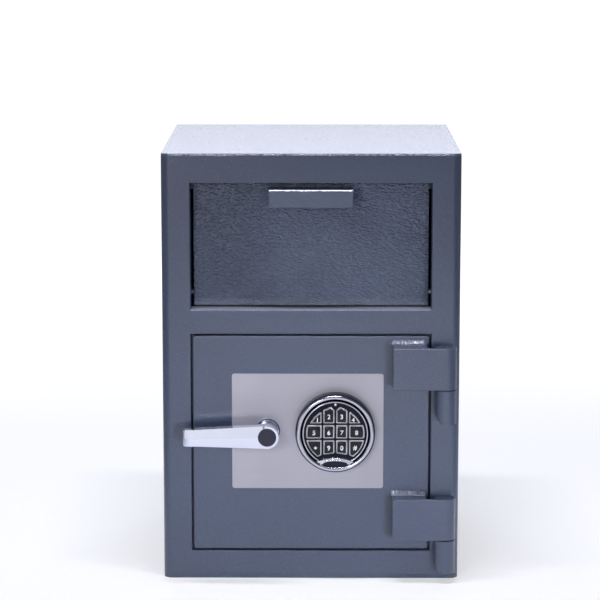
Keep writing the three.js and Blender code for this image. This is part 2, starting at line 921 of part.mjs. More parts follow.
function lockCase() {
  const outline = rectangle(lockLeft, lockRight, lockLow, lockLow + lockHeight);
  const box = easedSlab(outline, doorBack, doorBack + lockDepth, lockEase, frontView);
  const halfThick = lockBoltThickness / 2 + runningFit;
  const halfHigh = lockBoltHeight / 2 + runningFit;
  const channel = block(
    lockLeft - overrun,
    lockLeft + lockBoltLength + runningFit,
    boltY - halfThick,
    boltY + halfThick,
    lockBoltMiddle - halfHigh,
    lockBoltMiddle + halfHigh,
  );
  return cut(box, channel);
}

function batteryBlock() {
  const middle = (lockLeft + lockRight) / 2;
  const left = middle - batteryWidth / 2;
  const right = middle + batteryWidth / 2;
  const high = lockLow - seatGap;
  const low = high - batteryHeight;
  const outline = roundedRectangle(left, right, low, high, batteryCorner, tightSteps);
  return slab(outline, doorBack, doorBack + batteryDepth, frontView);
}

function handleCollar() {
  const inner = neckRadius + neckFlare + runningFit;
  const profile = [
    [inner, lockPlateFront],
    [inner + collarWidth, lockPlateFront],
    [inner + collarWidth, lockPlateFront - collarThickness / 2],
    [inner + collarWidth / 2, lockPlateFront - collarThickness],
    [inner, lockPlateFront - collarThickness],
  ];
  return ring(leverX, lockLine, profile, roundSteps);
}

add('door_plate', doorPlate(), bodyPaint);
add('lock_escutcheon', lockPlate(), brushedSteel);
add('dead_bar', deadBar(), plainSteel);
add('bolt_bracket', boltBracket(), zincSteel);
add('door_pan', doorPan(), bodyPaint);
add('lock_case', lockCase(), zincSteel);
add('battery', batteryBlock(), blackPlastic);
add('handle_collar', handleCollar(), chrome);

// Lever handle

// The lever seen from the front: a round hub, a straight underside and a falling upper edge.
function leverOutline() {
  const tip = -leverLength;
  const fall = Math.atan2(leverHub - leverTipTop, leverLength);
  const hub = arc(0, 0, leverHub, Math.PI / 2 + fall, -Math.PI / 2, roundSteps / 2);
  const points = [
    ...hub,
    [tip + leverTipCorner, -leverTipBottom],
    [tip, -leverTipBottom + leverTipCorner],
    [tip, leverTipTop - leverTipCorner / 2],
    [tip + leverTipCorner / 2, leverTipTop],
  ];
  return points.map(([x, z]) => [leverX + x, lockLine + z]);
}

const neckEnd = lockPlateFront - seatGap;
const spindleHead = neckEnd - spindleSocket;

function leverHandle() {
  const body = easedSlab(leverOutline(), leverBack, leverFront, leverEase, frontView, true);
  const tip = leverX - leverLength;
  const bend = [
    [tip + leverBendLength, leverFront],
    [tip - overrun, leverFront + leverBendDepth * (1 + overrun / leverBendLength)],
    [tip - overrun, leverFront - overrun],
    [tip + leverBendLength, leverFront - overrun],
  ];
  const facet = slab(bend, lockLine - 2 * leverHub, lockLine + 2 * leverHub, plan);
  const neckMiddle = (leverBack + neckEnd) / 2;
  const neck = turned(
    leverX,
    lockLine,
    [
      [neckRadius + neckFlare, neckEnd],
      [neckRadius, neckMiddle],
      [neckRadius, leverBack - leverEase],
    ],
    roundSteps,
    frontView,
  );
  const bore = spindleRadius + fixedFit;
  const socket = rod(leverX, lockLine, bore, neckEnd + overrun, spindleHead, roundSteps, frontView);
  const pocket = capRadius + fixedFit;
  const pocketEnds = [leverFront - overrun, leverFront + capRecess];
  const recess = rod(leverX, lockLine, pocket, ...pocketEnds, roundSteps, frontView);
  return cut(join(body, neck), facet, socket, recess);
}

function handleCap() {
  const radii = [
    [capRadius, leverFront + capRecess],
    [capRadius, leverFront],
    [capRadius - capProud, leverFront - capProud],
  ];
  return turned(leverX, lockLine, radii, roundSteps, frontView);
}

function handleSpindle() {
  const near = spindleHead + seatGap;
  return rod(leverX, lockLine, spindleRadius, near, camBack, roundSteps, frontView);
}

const camHalfTurn = radians(camTurnDegrees / 2);
const camPinX = leverX + camThrow * Math.sin(camHalfTurn);
const camPinZ = lockLine + camThrow * Math.cos(camHalfTurn);

// A hub with an arm to a drive pin. The outline runs round two circles and their common tangents.
function driveCam() {
  const along = Math.atan2(camPinZ - lockLine, camPinX - leverX);
  const spread = Math.acos((camHub - camTip) / camThrow);
  const outline = [
    ...arc(camPinX, camPinZ, camTip, along - spread, along + spread, smallSteps),
    ...arc(leverX, lockLine, camHub, along + spread, along + 2 * Math.PI - spread, roundSteps),
  ];
  const plate = slab(outline, camFront, camBack, frontView);
  const ends = [camFront - overrun, camBack + overrun];
  const bore = rod(leverX, lockLine, spindleRadius + fixedFit, ...ends, roundSteps, frontView);
  const pin = rod(camPinX, camPinZ, camPinRadius, camBack - overrun, carrierBack, smallSteps, frontView);
  return join(cut(plate, bore), pin);
}

add('lever_handle', leverHandle(), chrome);
add('handle_cap', handleCap(), blackPlastic);
add('handle_spindle', handleSpindle(), plainSteel);
add('drive_cam', driveCam(), zincSteel);

// Boltwork: a carrier plate with a slot for the drive pin, and three bolts

function boltCarrier() {
  const reach = boltSpacing + boltRadius + carrierMargin;
  const bar = rectangle(carrierLeft, carrierLeft + carrierBar, doorMiddle - reach, doorMiddle + reach);
  const armLow = lockLine + carrierArmRise;
  const armRight = lockLeft - lockBoltGap;
  const arm = rectangle(carrierLeft, armRight, armLow, armLow + carrierArm);
  const slotHalf = camPinRadius + runningFit;
  const slotLow = camPinZ - camPinRadius - slotMargin;
  const slotHigh = lockLine + camThrow + camPinRadius + slotMargin;
  const slot = [
    ...arc(camPinX, slotHigh - slotHalf, slotHalf, 0, Math.PI, bendSteps),
    ...arc(camPinX, slotLow + slotHalf, slotHalf, Math.PI, 2 * Math.PI, bendSteps),
  ];
  return cut(
    join(slab(bar, carrierFront, carrierBack, frontView), slab(arm, carrierFront, carrierBack, frontView)),
    slab(slot, carrierFront - overrun, carrierBack + overrun, frontView),
  );
}

function lockingBolt(z) {
  const radii = [
    [boltRadius - boltTaper, boltTip],
    [boltRadius, boltTip + boltTaper],
    [boltRadius, carrierLeft],
  ];
  return turned(boltY, z, radii, roundSteps, sideView);
}

add('bolt_carrier', boltCarrier(), zincSteel);
for (const [level, z] of Object.entries(boltHeights)) {
  add(`locking_bolt_${level}`, lockingBolt(z), plainSteel);
}

function lockBolt() {
  const halfThick = lockBoltThickness / 2;
  const halfHigh = lockBoltHeight / 2;
  return block(
    lockLeft,
    lockLeft + lockBoltLength,
    boltY - halfThick,
    boltY + halfThick,
    lockBoltMiddle - halfHigh,
    lockBoltMiddle + halfHigh,
  );
}

add('lock_bolt', lockBolt(), plainSteel);

// Keypad: a base cup, a turned bezel with a crescent, a face with key holes, and the keys

const keypadPoint = ([x, z]) => [keypadX + x, lockLine + z];

function keypadBase() {
  const cup = rod(keypadX, lockLine, baseRadius, lockPlateFront, faceBack, fineSteps, frontView);
  const floor = lockPlateFront - baseFloor;
  return cut(
    cup,
    rod(keypadX, lockLine, baseBore - baseShelf, floor, faceBack - overrun, fineSteps, frontView),
    rod(keypadX, lockLine, baseBore, boardBack, faceBack - overrun, fineSteps, frontView),
    rod(keypadX, lockLine, cableHole, lockPlateFront + overrun, floor - overrun, smallSteps, frontView),
  );
}

// The crescent ends on the bezel's groove. Its upper edge is an arc through its top and those ends.
function crescentOutline() {
  const low = Math.acos(crescentHalf / bezelGroove);
  const top = bezelLip - crescentTopMargin;
  const rise = bezelGroove * Math.sin(low) - top;
  const radius = (crescentHalf ** 2 + rise ** 2) / (2 * rise);
  const spread = Math.asin(crescentHalf / radius);
  const middle = Math.PI / 2;
  const upper = arc(0, -top - radius, radius, middle - spread, middle + spread, smallSteps);
  const lower = arc(0, 0, bezelGroove, Math.PI + low, 2 * Math.PI - low, smallSteps).slice(1, -1);
  return [...upper, ...lower].map(keypadPoint);
}

const badgeDrop = bezelGroove - badgeMargin;

const badgeOutline = (margin) =>
  circle(0, 0, 1, fineSteps / 2)
    .map(([u, v]) => [u * (badgeWidth / 2 + margin), v * (badgeHeight / 2 + margin) - badgeDrop])
    .map(keypadPoint);

function keypadBezel() {
  const shoulder = lockPlateFront - bezelShoulder;
  const bow = (bezelCrest + keypadRadius) / 2;
  const bowDepth = (shoulder + keypadFront) / 2;
  const profile = [
    [bezelBore, lockPlateFront],
    [keypadRadius, lockPlateFront],
    [keypadRadius, shoulder],
    [bow + (keypadRadius - bezelCrest) / 4, bowDepth - bezelLipDepth / 4],
    [bezelCrest, keypadFront],
    [bezelGroove, keypadFront + bezelGrooveDepth],
    [bezelInnerCrest, keypadFront + bezelInnerCrestDepth],
    [bezelLip, keypadFront + bezelGrooveDepth],
    [bezelLip, faceFront],
    [bezelBore, faceFront],
  ];
  const crescent = slab(crescentOutline(), faceFront, faceFront - crescentProud, frontView);
  const recess = faceFront - crescentProud + badgeRecess;
  const pocket = slab(badgeOutline(runningFit), recess, keypadFront - overrun, frontView);
  return cut(join(ring(keypadX, lockLine, profile, fineSteps), crescent), pocket);
}

// Key outlines on the right half, by row and column, from the inner column outwards.
const keyInner = keyGap / 2;
const keyInnerFar = keyInner + keyWidth;
const keyOuter = keyInnerFar + keyGap;
const keyTopOuterEnd = keyOuter + keyTopOuterLand;
const keyMiddleLow = keyRowRise - keyHeight / 2;
const keyMiddleHigh = keyRowRise + keyHeight / 2;
const keyTopLow = keyMiddleHigh + keyGap;
const keyBottomHigh = keyMiddleLow - keyGap;
const keyFieldRadius = bezelLip - keyFieldMargin;
const keyLowFieldRadius = bezelLip - keyLowFieldMargin;
const keyShoulder = keyFieldRadius - keyShoulderMargin;
const keyPeak = keyFieldRadius - keyPeakMargin;
const keyTopOuterReach = keyFieldRadius - keyTopOuterReachMargin;
const keyTopOuterHeight = keyFieldRadius - keyTopOuterMargin;
const keyBottomPoint = keyLowFieldRadius - keyBottomPointMargin;
const keyBottomOuter = keyLowFieldRadius - keyBottomOuterMargin;
const keyBottomFar = keyLowFieldRadius - keyBottomFarMargin;
const keyBottomNear = keyLowFieldRadius - keyBottomNearMargin;

const onField = (radius, z) => [Math.sqrt(radius ** 2 - z ** 2), z];

// Points on the field's edge between two heights.
function fieldEdge(radius, low, high, steps) {
  const points = [];
  for (let i = 0; i <= steps; i++) points.push(onField(radius, low + ((high - low) * i) / steps));
  return points;
}

const keyOutlines = [
  [
    [
      [keyInner, keyTopLow],
      [keyInnerFar, keyTopLow],
      [keyInnerFar, keyShoulder],
      [keyInner + keyWidth * keyPeakShare, keyPeak],
      [keyInner, keyShoulder],
    ],
    [
      [keyOuter, keyTopLow],
      [keyTopOuterReach, keyTopLow],
      [(keyTopOuterReach + keyTopOuterEnd + keyGap) / 2, (keyTopLow + keyTopOuterHeight + keyGap) / 2],
      [keyTopOuterEnd, keyTopOuterHeight],
      [keyOuter, keyTopOuterHeight],
    ],
  ],
  [
    rectangle(keyInner, keyInnerFar, keyMiddleLow, keyMiddleHigh),
    [
      [keyOuter, keyMiddleLow],
      ...fieldEdge(keyFieldRadius, keyMiddleLow, keyMiddleHigh, fieldSteps),
      [keyOuter, keyMiddleHigh],
    ],
  ],
  [
    [
      [keyInner, -keyBottomNear],
      [keyInnerFar, -keyBottomFar],
      [keyInnerFar, keyBottomHigh],
      [keyInner, keyBottomHigh],
    ],
    [
      [keyOuter, -keyBottomOuter],
      ...fieldEdge(keyLowFieldRadius, -keyBottomPoint, keyBottomHigh, fieldSteps),
      [keyOuter, keyBottomHigh],
    ],
  ],
];

const keyNames = [
  ['1', '2', '3', '4'],
  ['5', '6', '7', '8'],
  ['star', '9', '0', 'hash'],
];

function keyOutline(row, column) {
  const half = keyNames[row].length / 2;
  if (column >= half) return keyOutlines[row][column - half].map(keypadPoint);
  return keyOutlines[row][half - 1 - column].map(([x, z]) => [-x, z]).toReversed().map(keypadPoint);
}

const keys = keyNames.flatMap((names, row) =>
  names.map((name, column) => ({ name: `key_${name}`, outline: keyOutline(row, column) })),
);

const lightZ = lockLine + bezelLip - lightMargin;

function keypadFace() {
  const disc = rod(keypadX, lockLine, bezelBore - faceFit, faceBack, faceFront, fineSteps, frontView);
  const through = [faceBack + overrun, faceFront - overrun];
  const holes = keys.map(({ outline }) => slab(inset(outline, -runningFit), ...through, frontView));
  const lens = lightRadius + fixedFit;
  const light = rod(keypadX, lightZ, lens, ...through, smallSteps, frontView);
  return cut(disc, light, ...holes);
}

function keyCap(outline) {
  const top = faceFront - keyProud;
  const levels = [
    { outline, at: keyBack },
    { outline, at: top + keyChamfer },
    { outline: inset(outline, keyChamfer), at: top },
  ];
  return stack(levels, frontView);
}

function keypadBadge() {
  const seat = faceFront - crescentProud + badgeRecess;
  return slab(badgeOutline(0), seat, seat - badgeSheet, frontView);
}

function statusLight() {
  const radii = [
    [lightRadius, boardFront - seatGap],
    [lightRadius, faceFront],
    [lightRadius / 2, faceFront - lightProud],
  ];
  return turned(keypadX, lightZ, radii, smallSteps, frontView);
}

add('keypad_base', keypadBase(), blackPlastic);
add('keypad_bezel', keypadBezel(), chrome);
add('keypad_face', keypadFace(), blackPlastic);
add('keypad_badge', keypadBadge(), blackPlastic);
add('status_light', statusLight(), lightLens);

const keypadRod = (radius, from, to, steps) => rod(keypadX, lockLine, radius, from, to, steps, frontView);
const cableEnds = [boardBack + seatGap, doorBack - seatGap];
add('circuit_board', keypadRod(baseBore - boardFit, boardFront, boardBack, fineSteps), boardGreen);
add('keypad_cable', keypadRod(cableRadius, ...cableEnds, smallSteps), blackPlastic);
for (const { name, outline } of keys) add(name, keyCap(outline), keyRubber);

export default safe;
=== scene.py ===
# The looks of a front loading drop safe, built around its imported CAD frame.
# Metres. X is to the right, Y runs from front to back and Z is up, as in the frame.
import json
import math
import random

import bmesh
import bpy
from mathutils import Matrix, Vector


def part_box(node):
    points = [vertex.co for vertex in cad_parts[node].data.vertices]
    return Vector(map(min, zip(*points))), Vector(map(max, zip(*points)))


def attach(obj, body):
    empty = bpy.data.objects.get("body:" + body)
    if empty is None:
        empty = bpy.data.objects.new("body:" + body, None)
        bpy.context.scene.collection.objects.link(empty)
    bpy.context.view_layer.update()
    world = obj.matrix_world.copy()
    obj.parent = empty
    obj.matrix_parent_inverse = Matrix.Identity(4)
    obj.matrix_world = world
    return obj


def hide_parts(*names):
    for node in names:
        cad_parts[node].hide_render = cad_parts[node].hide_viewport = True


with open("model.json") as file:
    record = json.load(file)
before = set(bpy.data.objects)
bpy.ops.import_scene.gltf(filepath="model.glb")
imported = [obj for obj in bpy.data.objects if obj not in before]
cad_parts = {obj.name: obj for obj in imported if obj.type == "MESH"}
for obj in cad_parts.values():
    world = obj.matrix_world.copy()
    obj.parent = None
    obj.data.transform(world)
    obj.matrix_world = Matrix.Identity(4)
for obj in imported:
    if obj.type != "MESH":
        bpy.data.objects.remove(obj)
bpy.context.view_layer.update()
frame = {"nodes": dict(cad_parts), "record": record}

record = frame["record"]
slot_of = {row["node"]: row["material_slot"] for row in record["subparts"]}
body_of = {node: body for body, nodes in record["behaviour"]["bodies"].items() for node in nodes}

MM = 0.001
WHITE = (1, 1, 1, 1)

# Steps round a circle or a large arc, and the sides of a hexagon
FINE = 96
ROUND = 48
HEX = 6

# Mesh clean up: distances that count as one place, and the bend that counts as flat
MERGE = 1e-6
MERGE_FINE = 1e-7
FLAT_DEGREES = 0.5

# Shares of unit vectors by which faces and edges are told apart
FACING_FRONT = -0.99
FACING_PARTLY_FRONT = -0.4
FACING_UP = 0.9
RUNNING_BACK = 0.4

# Camera, fitted to the photograph
CAMERA_PLACE = (0.0044, -3.0373, 0.8201)
CAMERA_PITCH = math.radians(9.60)
CAMERA_YAW = math.radians(0.346)
CAMERA_LENS = 148.9
CAMERA_REACH = 60

# Lamps: place, target, size, watts, colour and spread in degrees
LAMPS = {
    "front_light": ((0.62, -1.85, 0.16), (-0.03, 0, 0.13), (0.5, 0.26), 0.48, (1, 1, 1), 24),
    "overhead_light": ((-0.05, -0.42, 2.2), (0, -0.1, 0.25), (0.9, 0.16), 22, (0.99, 1, 1.12), 180),
    "spark_light": ((-0.62, -2.1, 0.75), (0, -0.15, 0.25), (0.55, 0.4), 9, (1, 1, 1), 180),
    "back_light": ((0, 2.2, 1.5), (0, 0.1, 0.4), (2.4, 1.2), 25, (0.72, 0.78, 1), 180),
}
MATT_LAMPS = {"front_light"}

# World: white round the horizon, dark above those heights of a direction, and a weak fill
WORLD_FILL = 0.1
WORLD_FILL_COLOR = (0.93, 0.95, 1.0, 1)
CEILING_COLOR = (0.07, 0.075, 0.09, 1)
CEILING_HEIGHTS = (0.20, 0.40)

# Floor: its glow grows with the distance, and what mirrors it sees a lit table
FLOOR_HALF = 40.0
FLOOR_COLOR = (0.7, 0.7, 0.71, 1)
GLOW_DISTANCES = (0.5, 2.6)
GLOW_STRENGTHS = (0.5, 1.0)
TABLE_FRONT = (-3.7, -2.8)
TABLE_SIDE = (1.0, 0.35)
TABLE_BEYOND = 0.05

# Shader nodes: samples of a bevel, the middle of a noise's values, and a coat left out
BEVEL_SAMPLES = 4
NOISE_MIDDLE = (0.3, 0.7)
UNCOATED = (0.0, 0.12, 1.5)

# Enamel: pattern scales in cells per metre, depths, and light flecks
ENAMEL_GRAIN = 760
ENAMEL_GRAIN_DEPTH = 0.12 * MM
ENAMEL_CLOUD = 7
ENAMEL_SPECK = 240
ENAMEL_SWELL = 260
ENAMEL_EDGE = 1.5 * MM
FLECK_SCALE = 430
FLECK_RANGE = (0.56, 0.74)
FLECK_ADDED = 0.015

# Paint rubbed off along the drawer pull, light bare metal that is also a painted highlight on its
# bend
WEAR_AND_HIGHLIGHT_COLOR = (0.62, 0.64, 0.7, 1)
WEAR_AND_HIGHLIGHT_SCALE = 520
WEAR_AND_HIGHLIGHT_RAGGED = 0.9 * MM
WEAR_AND_HIGHLIGHT_FADE = 0.25 * MM

# Wrinkled paint of the drawer front, with painted shade in its grooves and lighter along its lower
# edge
LEATHER_CELLS = 400.0
LEATHER_WIDTHS = (0.5, 1.0, 1.0)
LEATHER_WANDER = 170.0
LEATHER_SHIFT = 4 * MM
LEATHER_SWELL = 120
LEATHER_CLOUD = 9
# Shares of the paint colour: painted shade in the grooves, painted light on the pillow tops
LEATHER_SHADE_TONES = (0.54, 1.24)
LEATHER_PILLOW_DEPTH = 1.8 * MM
LEATHER_SWELL_DEPTH = 1.0 * MM
# Heights over which the drawer front turns lighter towards its lower edge, and by how much
LIGHTER_EDGE_HEIGHTS = (0.336, 0.3275)
LIGHTER_EDGE_SHARE = 0.3
LIGHTER_EDGE_COLOR = (0.3, 0.33, 0.4, 1)

# Lever, beyond what its box gives
LEVER_THICKNESS = 14 * MM
LEVER_TIP_TOP = 8 * MM
LEVER_TIP_BOTTOM = 12 * MM
LEVER_TIP_CORNER = 2.5 * MM
LEVER_CORNER_STEPS = 4
LEVER_EDGE = 2.2 * MM
LEVER_EDGE_STEPS = 5
LEVER_SLOPE = math.tan(math.radians(9))
LEVER_SLOPE_START = 0.5
LEVER_SLOPE_STEPS = 12
LEVER_BEND_LENGTH = 11 * MM
LEVER_BEND_DEPTH = 4.5 * MM
RIDGE_NEAR = 0.01 * MM
NECK_CORE = 0.5 * MM
NECK_RADIUS = 11 * MM
NECK_FLARE = 0.8 * MM
NECK_FLARE_STEPS = 10

# Keypad, measured from its axis and its front plane
ROLL_RADIUS = 2.4 * MM
ROLL_INSET = 1.2 * MM
ROLL_STEPS = 20
RING_RADIUS = 0.95 * MM
RING_INSET = 9 * MM
RING_SINK = 1.3 * MM
RING_STEPS = 10
BEZEL_LIP = 10 * MM
BEZEL_WALL = 3.45 * MM
CRESCENT_TOP = 28.9 * MM
CRESCENT_HALF = 22.5 * MM
CRESCENT_REACH = 40.4 * MM
CRESCENT_EDGE = 1.1 * MM
CRESCENT_STEPS = 5
CRESCENT_PROUD = 2.2 * MM
BADGE_HALF_WIDTH = 16.7 * MM
BADGE_HALF_HEIGHT = 4.2 * MM
BADGE_RIM = 0.5 * MM
BADGE_RIM_SIDES = 8
BADGE_CROWN = 0.5 * MM
BADGE_LEVELS = 6

# Keys and what is printed on them
KEY_DOME = 1.6 * MM
KEY_DOME_POWER = 2.2
KEY_OUTLINE = 0.6 * MM
KEY_CORNER = 1.3 * MM
KEY_CORNER_ANGLE = math.radians(30)
KEY_CORNER_STEPS = 4
KEY_SLICES = 12
KEY_TOP_DEPTH = 0.05 * MM
KEY_MARKS = {"key_hash": "#"}
DIGIT_SIZE = 7.6 * MM
DIGIT_CURVE_STEPS = 6
DIGIT_SLICES = 6
DIGIT_STEP = 0.7 * MM
DIGIT_DROP = 0.8 * MM
DIGIT_WEIGHT = 0.14 * MM
DIGIT_PROUD = 0.08 * MM
DIGIT_SUNK = 0.2 * MM
STAR_ARMS = 6
STAR_REACH = 2.1 * MM
STAR_ARM = 0.34 * MM

# Drawer: its front hangs lower and its pull stands higher than the node's
FRONT_DROP = 0.6 * MM
PULL_RAISE = 1.1 * MM
PULL_BEND = 4 * MM
PULL_WEAR_AND_HIGHLIGHT_FRONT = 0.6
PULL_WEAR_AND_HIGHLIGHT_TOP = 0.3

# Ground welds along the lid and round the back, uneven by shares of their radius
SEAM_RADIUS = 1.1 * MM
SEAM_RADIUS_SHARES = (0.55, 1.2)
SEAM_DRIFT_SHARE = 0.25
SEAM_MARGIN = 9 * MM
SEAM_STEP = 1.6 * MM
SEAM_SUNK = 0.6 * MM
SEAM_RISE = 1 * MM
SEAM_SIDES = 8

# Weld beads over the hinge pads
BEAD_LEG = 5.4 * MM
BEAD_RIPPLE = 0.7 * MM
BEAD_PITCH = 3.1 * MM
BEAD_OVERHANG = 2.5 * MM
BEAD_STEPS = 150
BEAD_SIDES = 8
BEAD_LUMPS = (0.8, 1.15)
BEAD_LUMP_SHARE = 0.25
BEAD_TAPER = 5
BEAD_END = 0.02
BEAD_ROUNDNESS = 0.18
PAD_WIDTH = 40.5 * MM

# Screws of the door pan
SCREW_RADIUS = 4 * MM
SCREW_HEIGHT = 1.5 * MM
SCREW_DOME = math.pi / 2 * 0.72
SCREW_LEVELS = 5
SCREW_SIDES = HEX * 6
SCREW_SOCKET = 1.6 * MM
SCREW_SOCKET_DEPTH = 1 * MM
SCREW_INSET = 12 * MM

# Nodes that a piece of this script models anew, and nodes that keep their own flat faces
MODELLED = {"lever_handle", "keypad_bezel", "keypad_badge", "drawer_front", "drawer_pull"}
FLAT = {
    "back_plate", "door_jamb", "drawer_sill", "drawer_buffer", "dead_bar", "door_pan", "lock_case",
    "lock_bolt", "antifish_baffle", "keypad_face", "circuit_board", "housing_side_left",
    "housing_side_right", "drawer_tray",
}


def srgb(red, green, blue):
    """A colour written in 0 to 255, as Blender's linear values."""
    linear = [((c / 255 + 0.055) / 1.055) ** 2.4 for c in (red, green, blue)]
    return (*linear, 1)


def scaled(color, *shares):
    """A colour times one share, or times a share for each of its channels."""
    shares = shares * 3 if len(shares) == 1 else shares
    return tuple(c * share for c, share in zip(color[:3], shares)) + (1,)


# Shader nodes


class Nodes:
    """A tree of shader nodes with short calls to add and join them."""

    def __init__(self, tree):
        self.tree = tree

    def add(self, kind, inputs=None, **settings):
        node = self.tree.nodes.new("ShaderNode" + kind)
        for name, value in settings.items():
            setattr(node, name, value)
        for name, value in (inputs or {}).items():
            if isinstance(value, bpy.types.NodeSocket):
                self.tree.links.new(value, node.inputs[name])
            else:
                node.inputs[name].default_value = value
        return node

    def math(self, operation, *values):
        return self.add("Math", dict(enumerate(values)), operation=operation).outputs[0]

    def ranged(self, value, low, high, start=0.0, end=1.0, **settings):
        inputs = {"Value": value, "From Min": low, "From Max": high, "To Min": start, "To Max": end}
        return self.add("MapRange", inputs, **settings).outputs["Result"]

    def eased(self, value, low, high, start=0.0, end=1.0):
        """Ranged, with a soft start and end."""
        return self.ranged(value, low, high, start, end, interpolation_type="SMOOTHSTEP")

    def mixed(self, factor, first, second):
        inputs = {"Factor": factor, "A": first, "B": second}
        return self.add("Mix", inputs, data_type="RGBA").outputs["Result"]

    def mirror_rays(self, path):
        """One for rays that metal or glass sends on."""
        return self.math("MAXIMUM", path["Is Glossy Ray"], path["Is Transmission Ray"])


class Surface(Nodes):
    """A material around one Principled shader."""

    def __init__(self, name, color, roughness, metallic=0.0, **sockets):
        self.material = bpy.data.materials.new(name)
        self.material.use_nodes = True
        super().__init__(self.material.node_tree)
        self.shader = self.tree.nodes["Principled BSDF"]
        self.shader.inputs["Base Color"].default_value = color
        self.shader.inputs["Roughness"].default_value = roughness
        self.shader.inputs["Metallic"].default_value = metallic
        for socket, value in sockets.items():
            self.shader.inputs[socket.replace("_", " ")].default_value = value
        self.place = self.add("TexCoord").outputs["Object"]

    def set(self, socket, value):
        self.tree.links.new(value, self.shader.inputs[socket])

    def set_both_normals(self, value):
        """The same relief for the paint and for the gloss on it."""
        self.set("Normal", value)
        self.set("Coat Normal", value)

    def stretched(self, shares, vector=None):
        """Places for a pattern, which a small share along an axis draws out along it."""
        inputs = {"Vector": vector or self.place, "Scale": shares}
        return self.add("Mapping", inputs).outputs["Vector"]

    def noise(self, scale, detail=2.0, vector=None, roughness=0.5):
        inputs = {
            "Vector": vector or self.place,
            "Scale": scale,
            "Detail": detail,
            "Roughness": roughness,
        }
        return self.add("TexNoise", inputs).outputs["Fac"]

    def spread(self, noise, start=0.0, end=1.0):
        """The middle of a noise's values, stretched between two numbers."""
        return self.ranged(noise, *NOISE_MIDDLE, start, end)

    def tint(self, factor, color, darker, lighter):
        """The base colour between a darker and a lighter share of itself."""
        high = tuple(min(1, c) for c in scaled(color, lighter))
        return self.mixed(factor, scaled(color, darker), high)

    def eased_edges(self, radius):
        """Normals that turn over sharp edges as if these were rounded."""
        return self.add("Bevel", {"Radius": radius}, samples=BEVEL_SAMPLES).outputs["Normal"]

    def rub_wear_and_highlight(self, edge_y, edge_z):
        """Bare metal with ragged borders in front of one plane and above another: partly wear,
        partly a painted highlight.
        """
        axes = self.add("SeparateXYZ", {0: self.place}).outputs
        ragged = self.ranged(self.noise(WEAR_AND_HIGHLIGHT_SCALE), 0.2, 0.8, -WEAR_AND_HIGHLIGHT_RAGGED, WEAR_AND_HIGHLIGHT_RAGGED)
        high = self.math("ADD", axes["Z"], ragged)
        near = self.math("ADD", axes["Y"], ragged)
        above = self.ranged(high, edge_z - WEAR_AND_HIGHLIGHT_FADE, edge_z + WEAR_AND_HIGHLIGHT_FADE)
        before = self.ranged(near, edge_y + WEAR_AND_HIGHLIGHT_FADE, edge_y - WEAR_AND_HIGHLIGHT_FADE)
        both = self.math("MULTIPLY", above, before)
        painted = self.shader.inputs["Base Color"].links[0].from_socket
        self.set("Base Color", self.mixed(both, painted, WEAR_AND_HIGHLIGHT_COLOR))
        self.set("Metallic", both)

    def bump(self, height, depth, strength, normal=None):
        inputs = {"Height": height, "Distance": depth, "Strength": strength}
        if normal is not None:
            inputs["Normal"] = normal
        return self.add("Bump", inputs).outputs["Normal"]

    def embossed(self, height, depth, strength, edge):
        """A relief on a surface whose sharp edges look rounded."""
        return self.bump(height, depth, strength, self.eased_edges(edge))


# Camera, lights, world and floor


def show(thing):
    """Links a new object to the scene."""
    bpy.context.scene.collection.objects.link(thing)
    return thing


def make_camera():
    camera = show(bpy.data.objects.new("camera", bpy.data.cameras.new("camera")))
    forward = Vector((
        -math.sin(CAMERA_YAW) * math.cos(CAMERA_PITCH),
        math.cos(CAMERA_YAW) * math.cos(CAMERA_PITCH),
        -math.sin(CAMERA_PITCH),
    ))
    camera.rotation_mode = "QUATERNION"
    camera.rotation_quaternion = forward.to_track_quat("-Z", "Y")
    camera.location = CAMERA_PLACE
    camera.data.lens = CAMERA_LENS
    camera.data.clip_end = CAMERA_REACH
    bpy.context.scene.camera = camera


def make_lights():
    """The lamps, none of them seen by the camera and the matt ones not in metal either."""
    for name, (place, target, size, power, color, spread) in LAMPS.items():
        data = bpy.data.lights.new(name, "AREA")
        data.shape = "RECTANGLE"
        data.size, data.size_y = size
        data.energy = power
        data.color = color
        data.spread = math.radians(spread)
        lamp = show(bpy.data.objects.new(name, data))
        lamp.location = place
        lamp.rotation_mode = "QUATERNION"
        aim = Vector(target) - Vector(place)
        lamp.rotation_quaternion = aim.to_track_quat("-Z", "Y")
        lamp.visible_camera = False
        lamp.visible_glossy = name not in MATT_LAMPS


def make_world():
    """White for the camera and in metal and glass, a weak fill for everything else."""
    world = bpy.data.worlds.new("studio")
    world.use_nodes = True
    bpy.context.scene.world = world
    nodes = Nodes(world.node_tree)
    nodes.tree.nodes.clear()
    path = nodes.add("LightPath").outputs
    seen = nodes.math("MAXIMUM", path["Is Camera Ray"], nodes.mirror_rays(path))
    place = nodes.add("TexCoord").outputs["Generated"]
    height = nodes.add("SeparateXYZ", {0: place}).outputs["Z"]
    room = nodes.mixed(nodes.eased(height, *CEILING_HEIGHTS), WHITE, CEILING_COLOR)
    shown = nodes.add("Background", {"Color": room})
    fill = nodes.add("Background", {"Color": WORLD_FILL_COLOR, "Strength": WORLD_FILL})
    both = nodes.add("MixShader", {0: seen, 1: fill.outputs[0], 2: shown.outputs[0]})
    nodes.add("OutputWorld", {"Surface": both.outputs[0]})


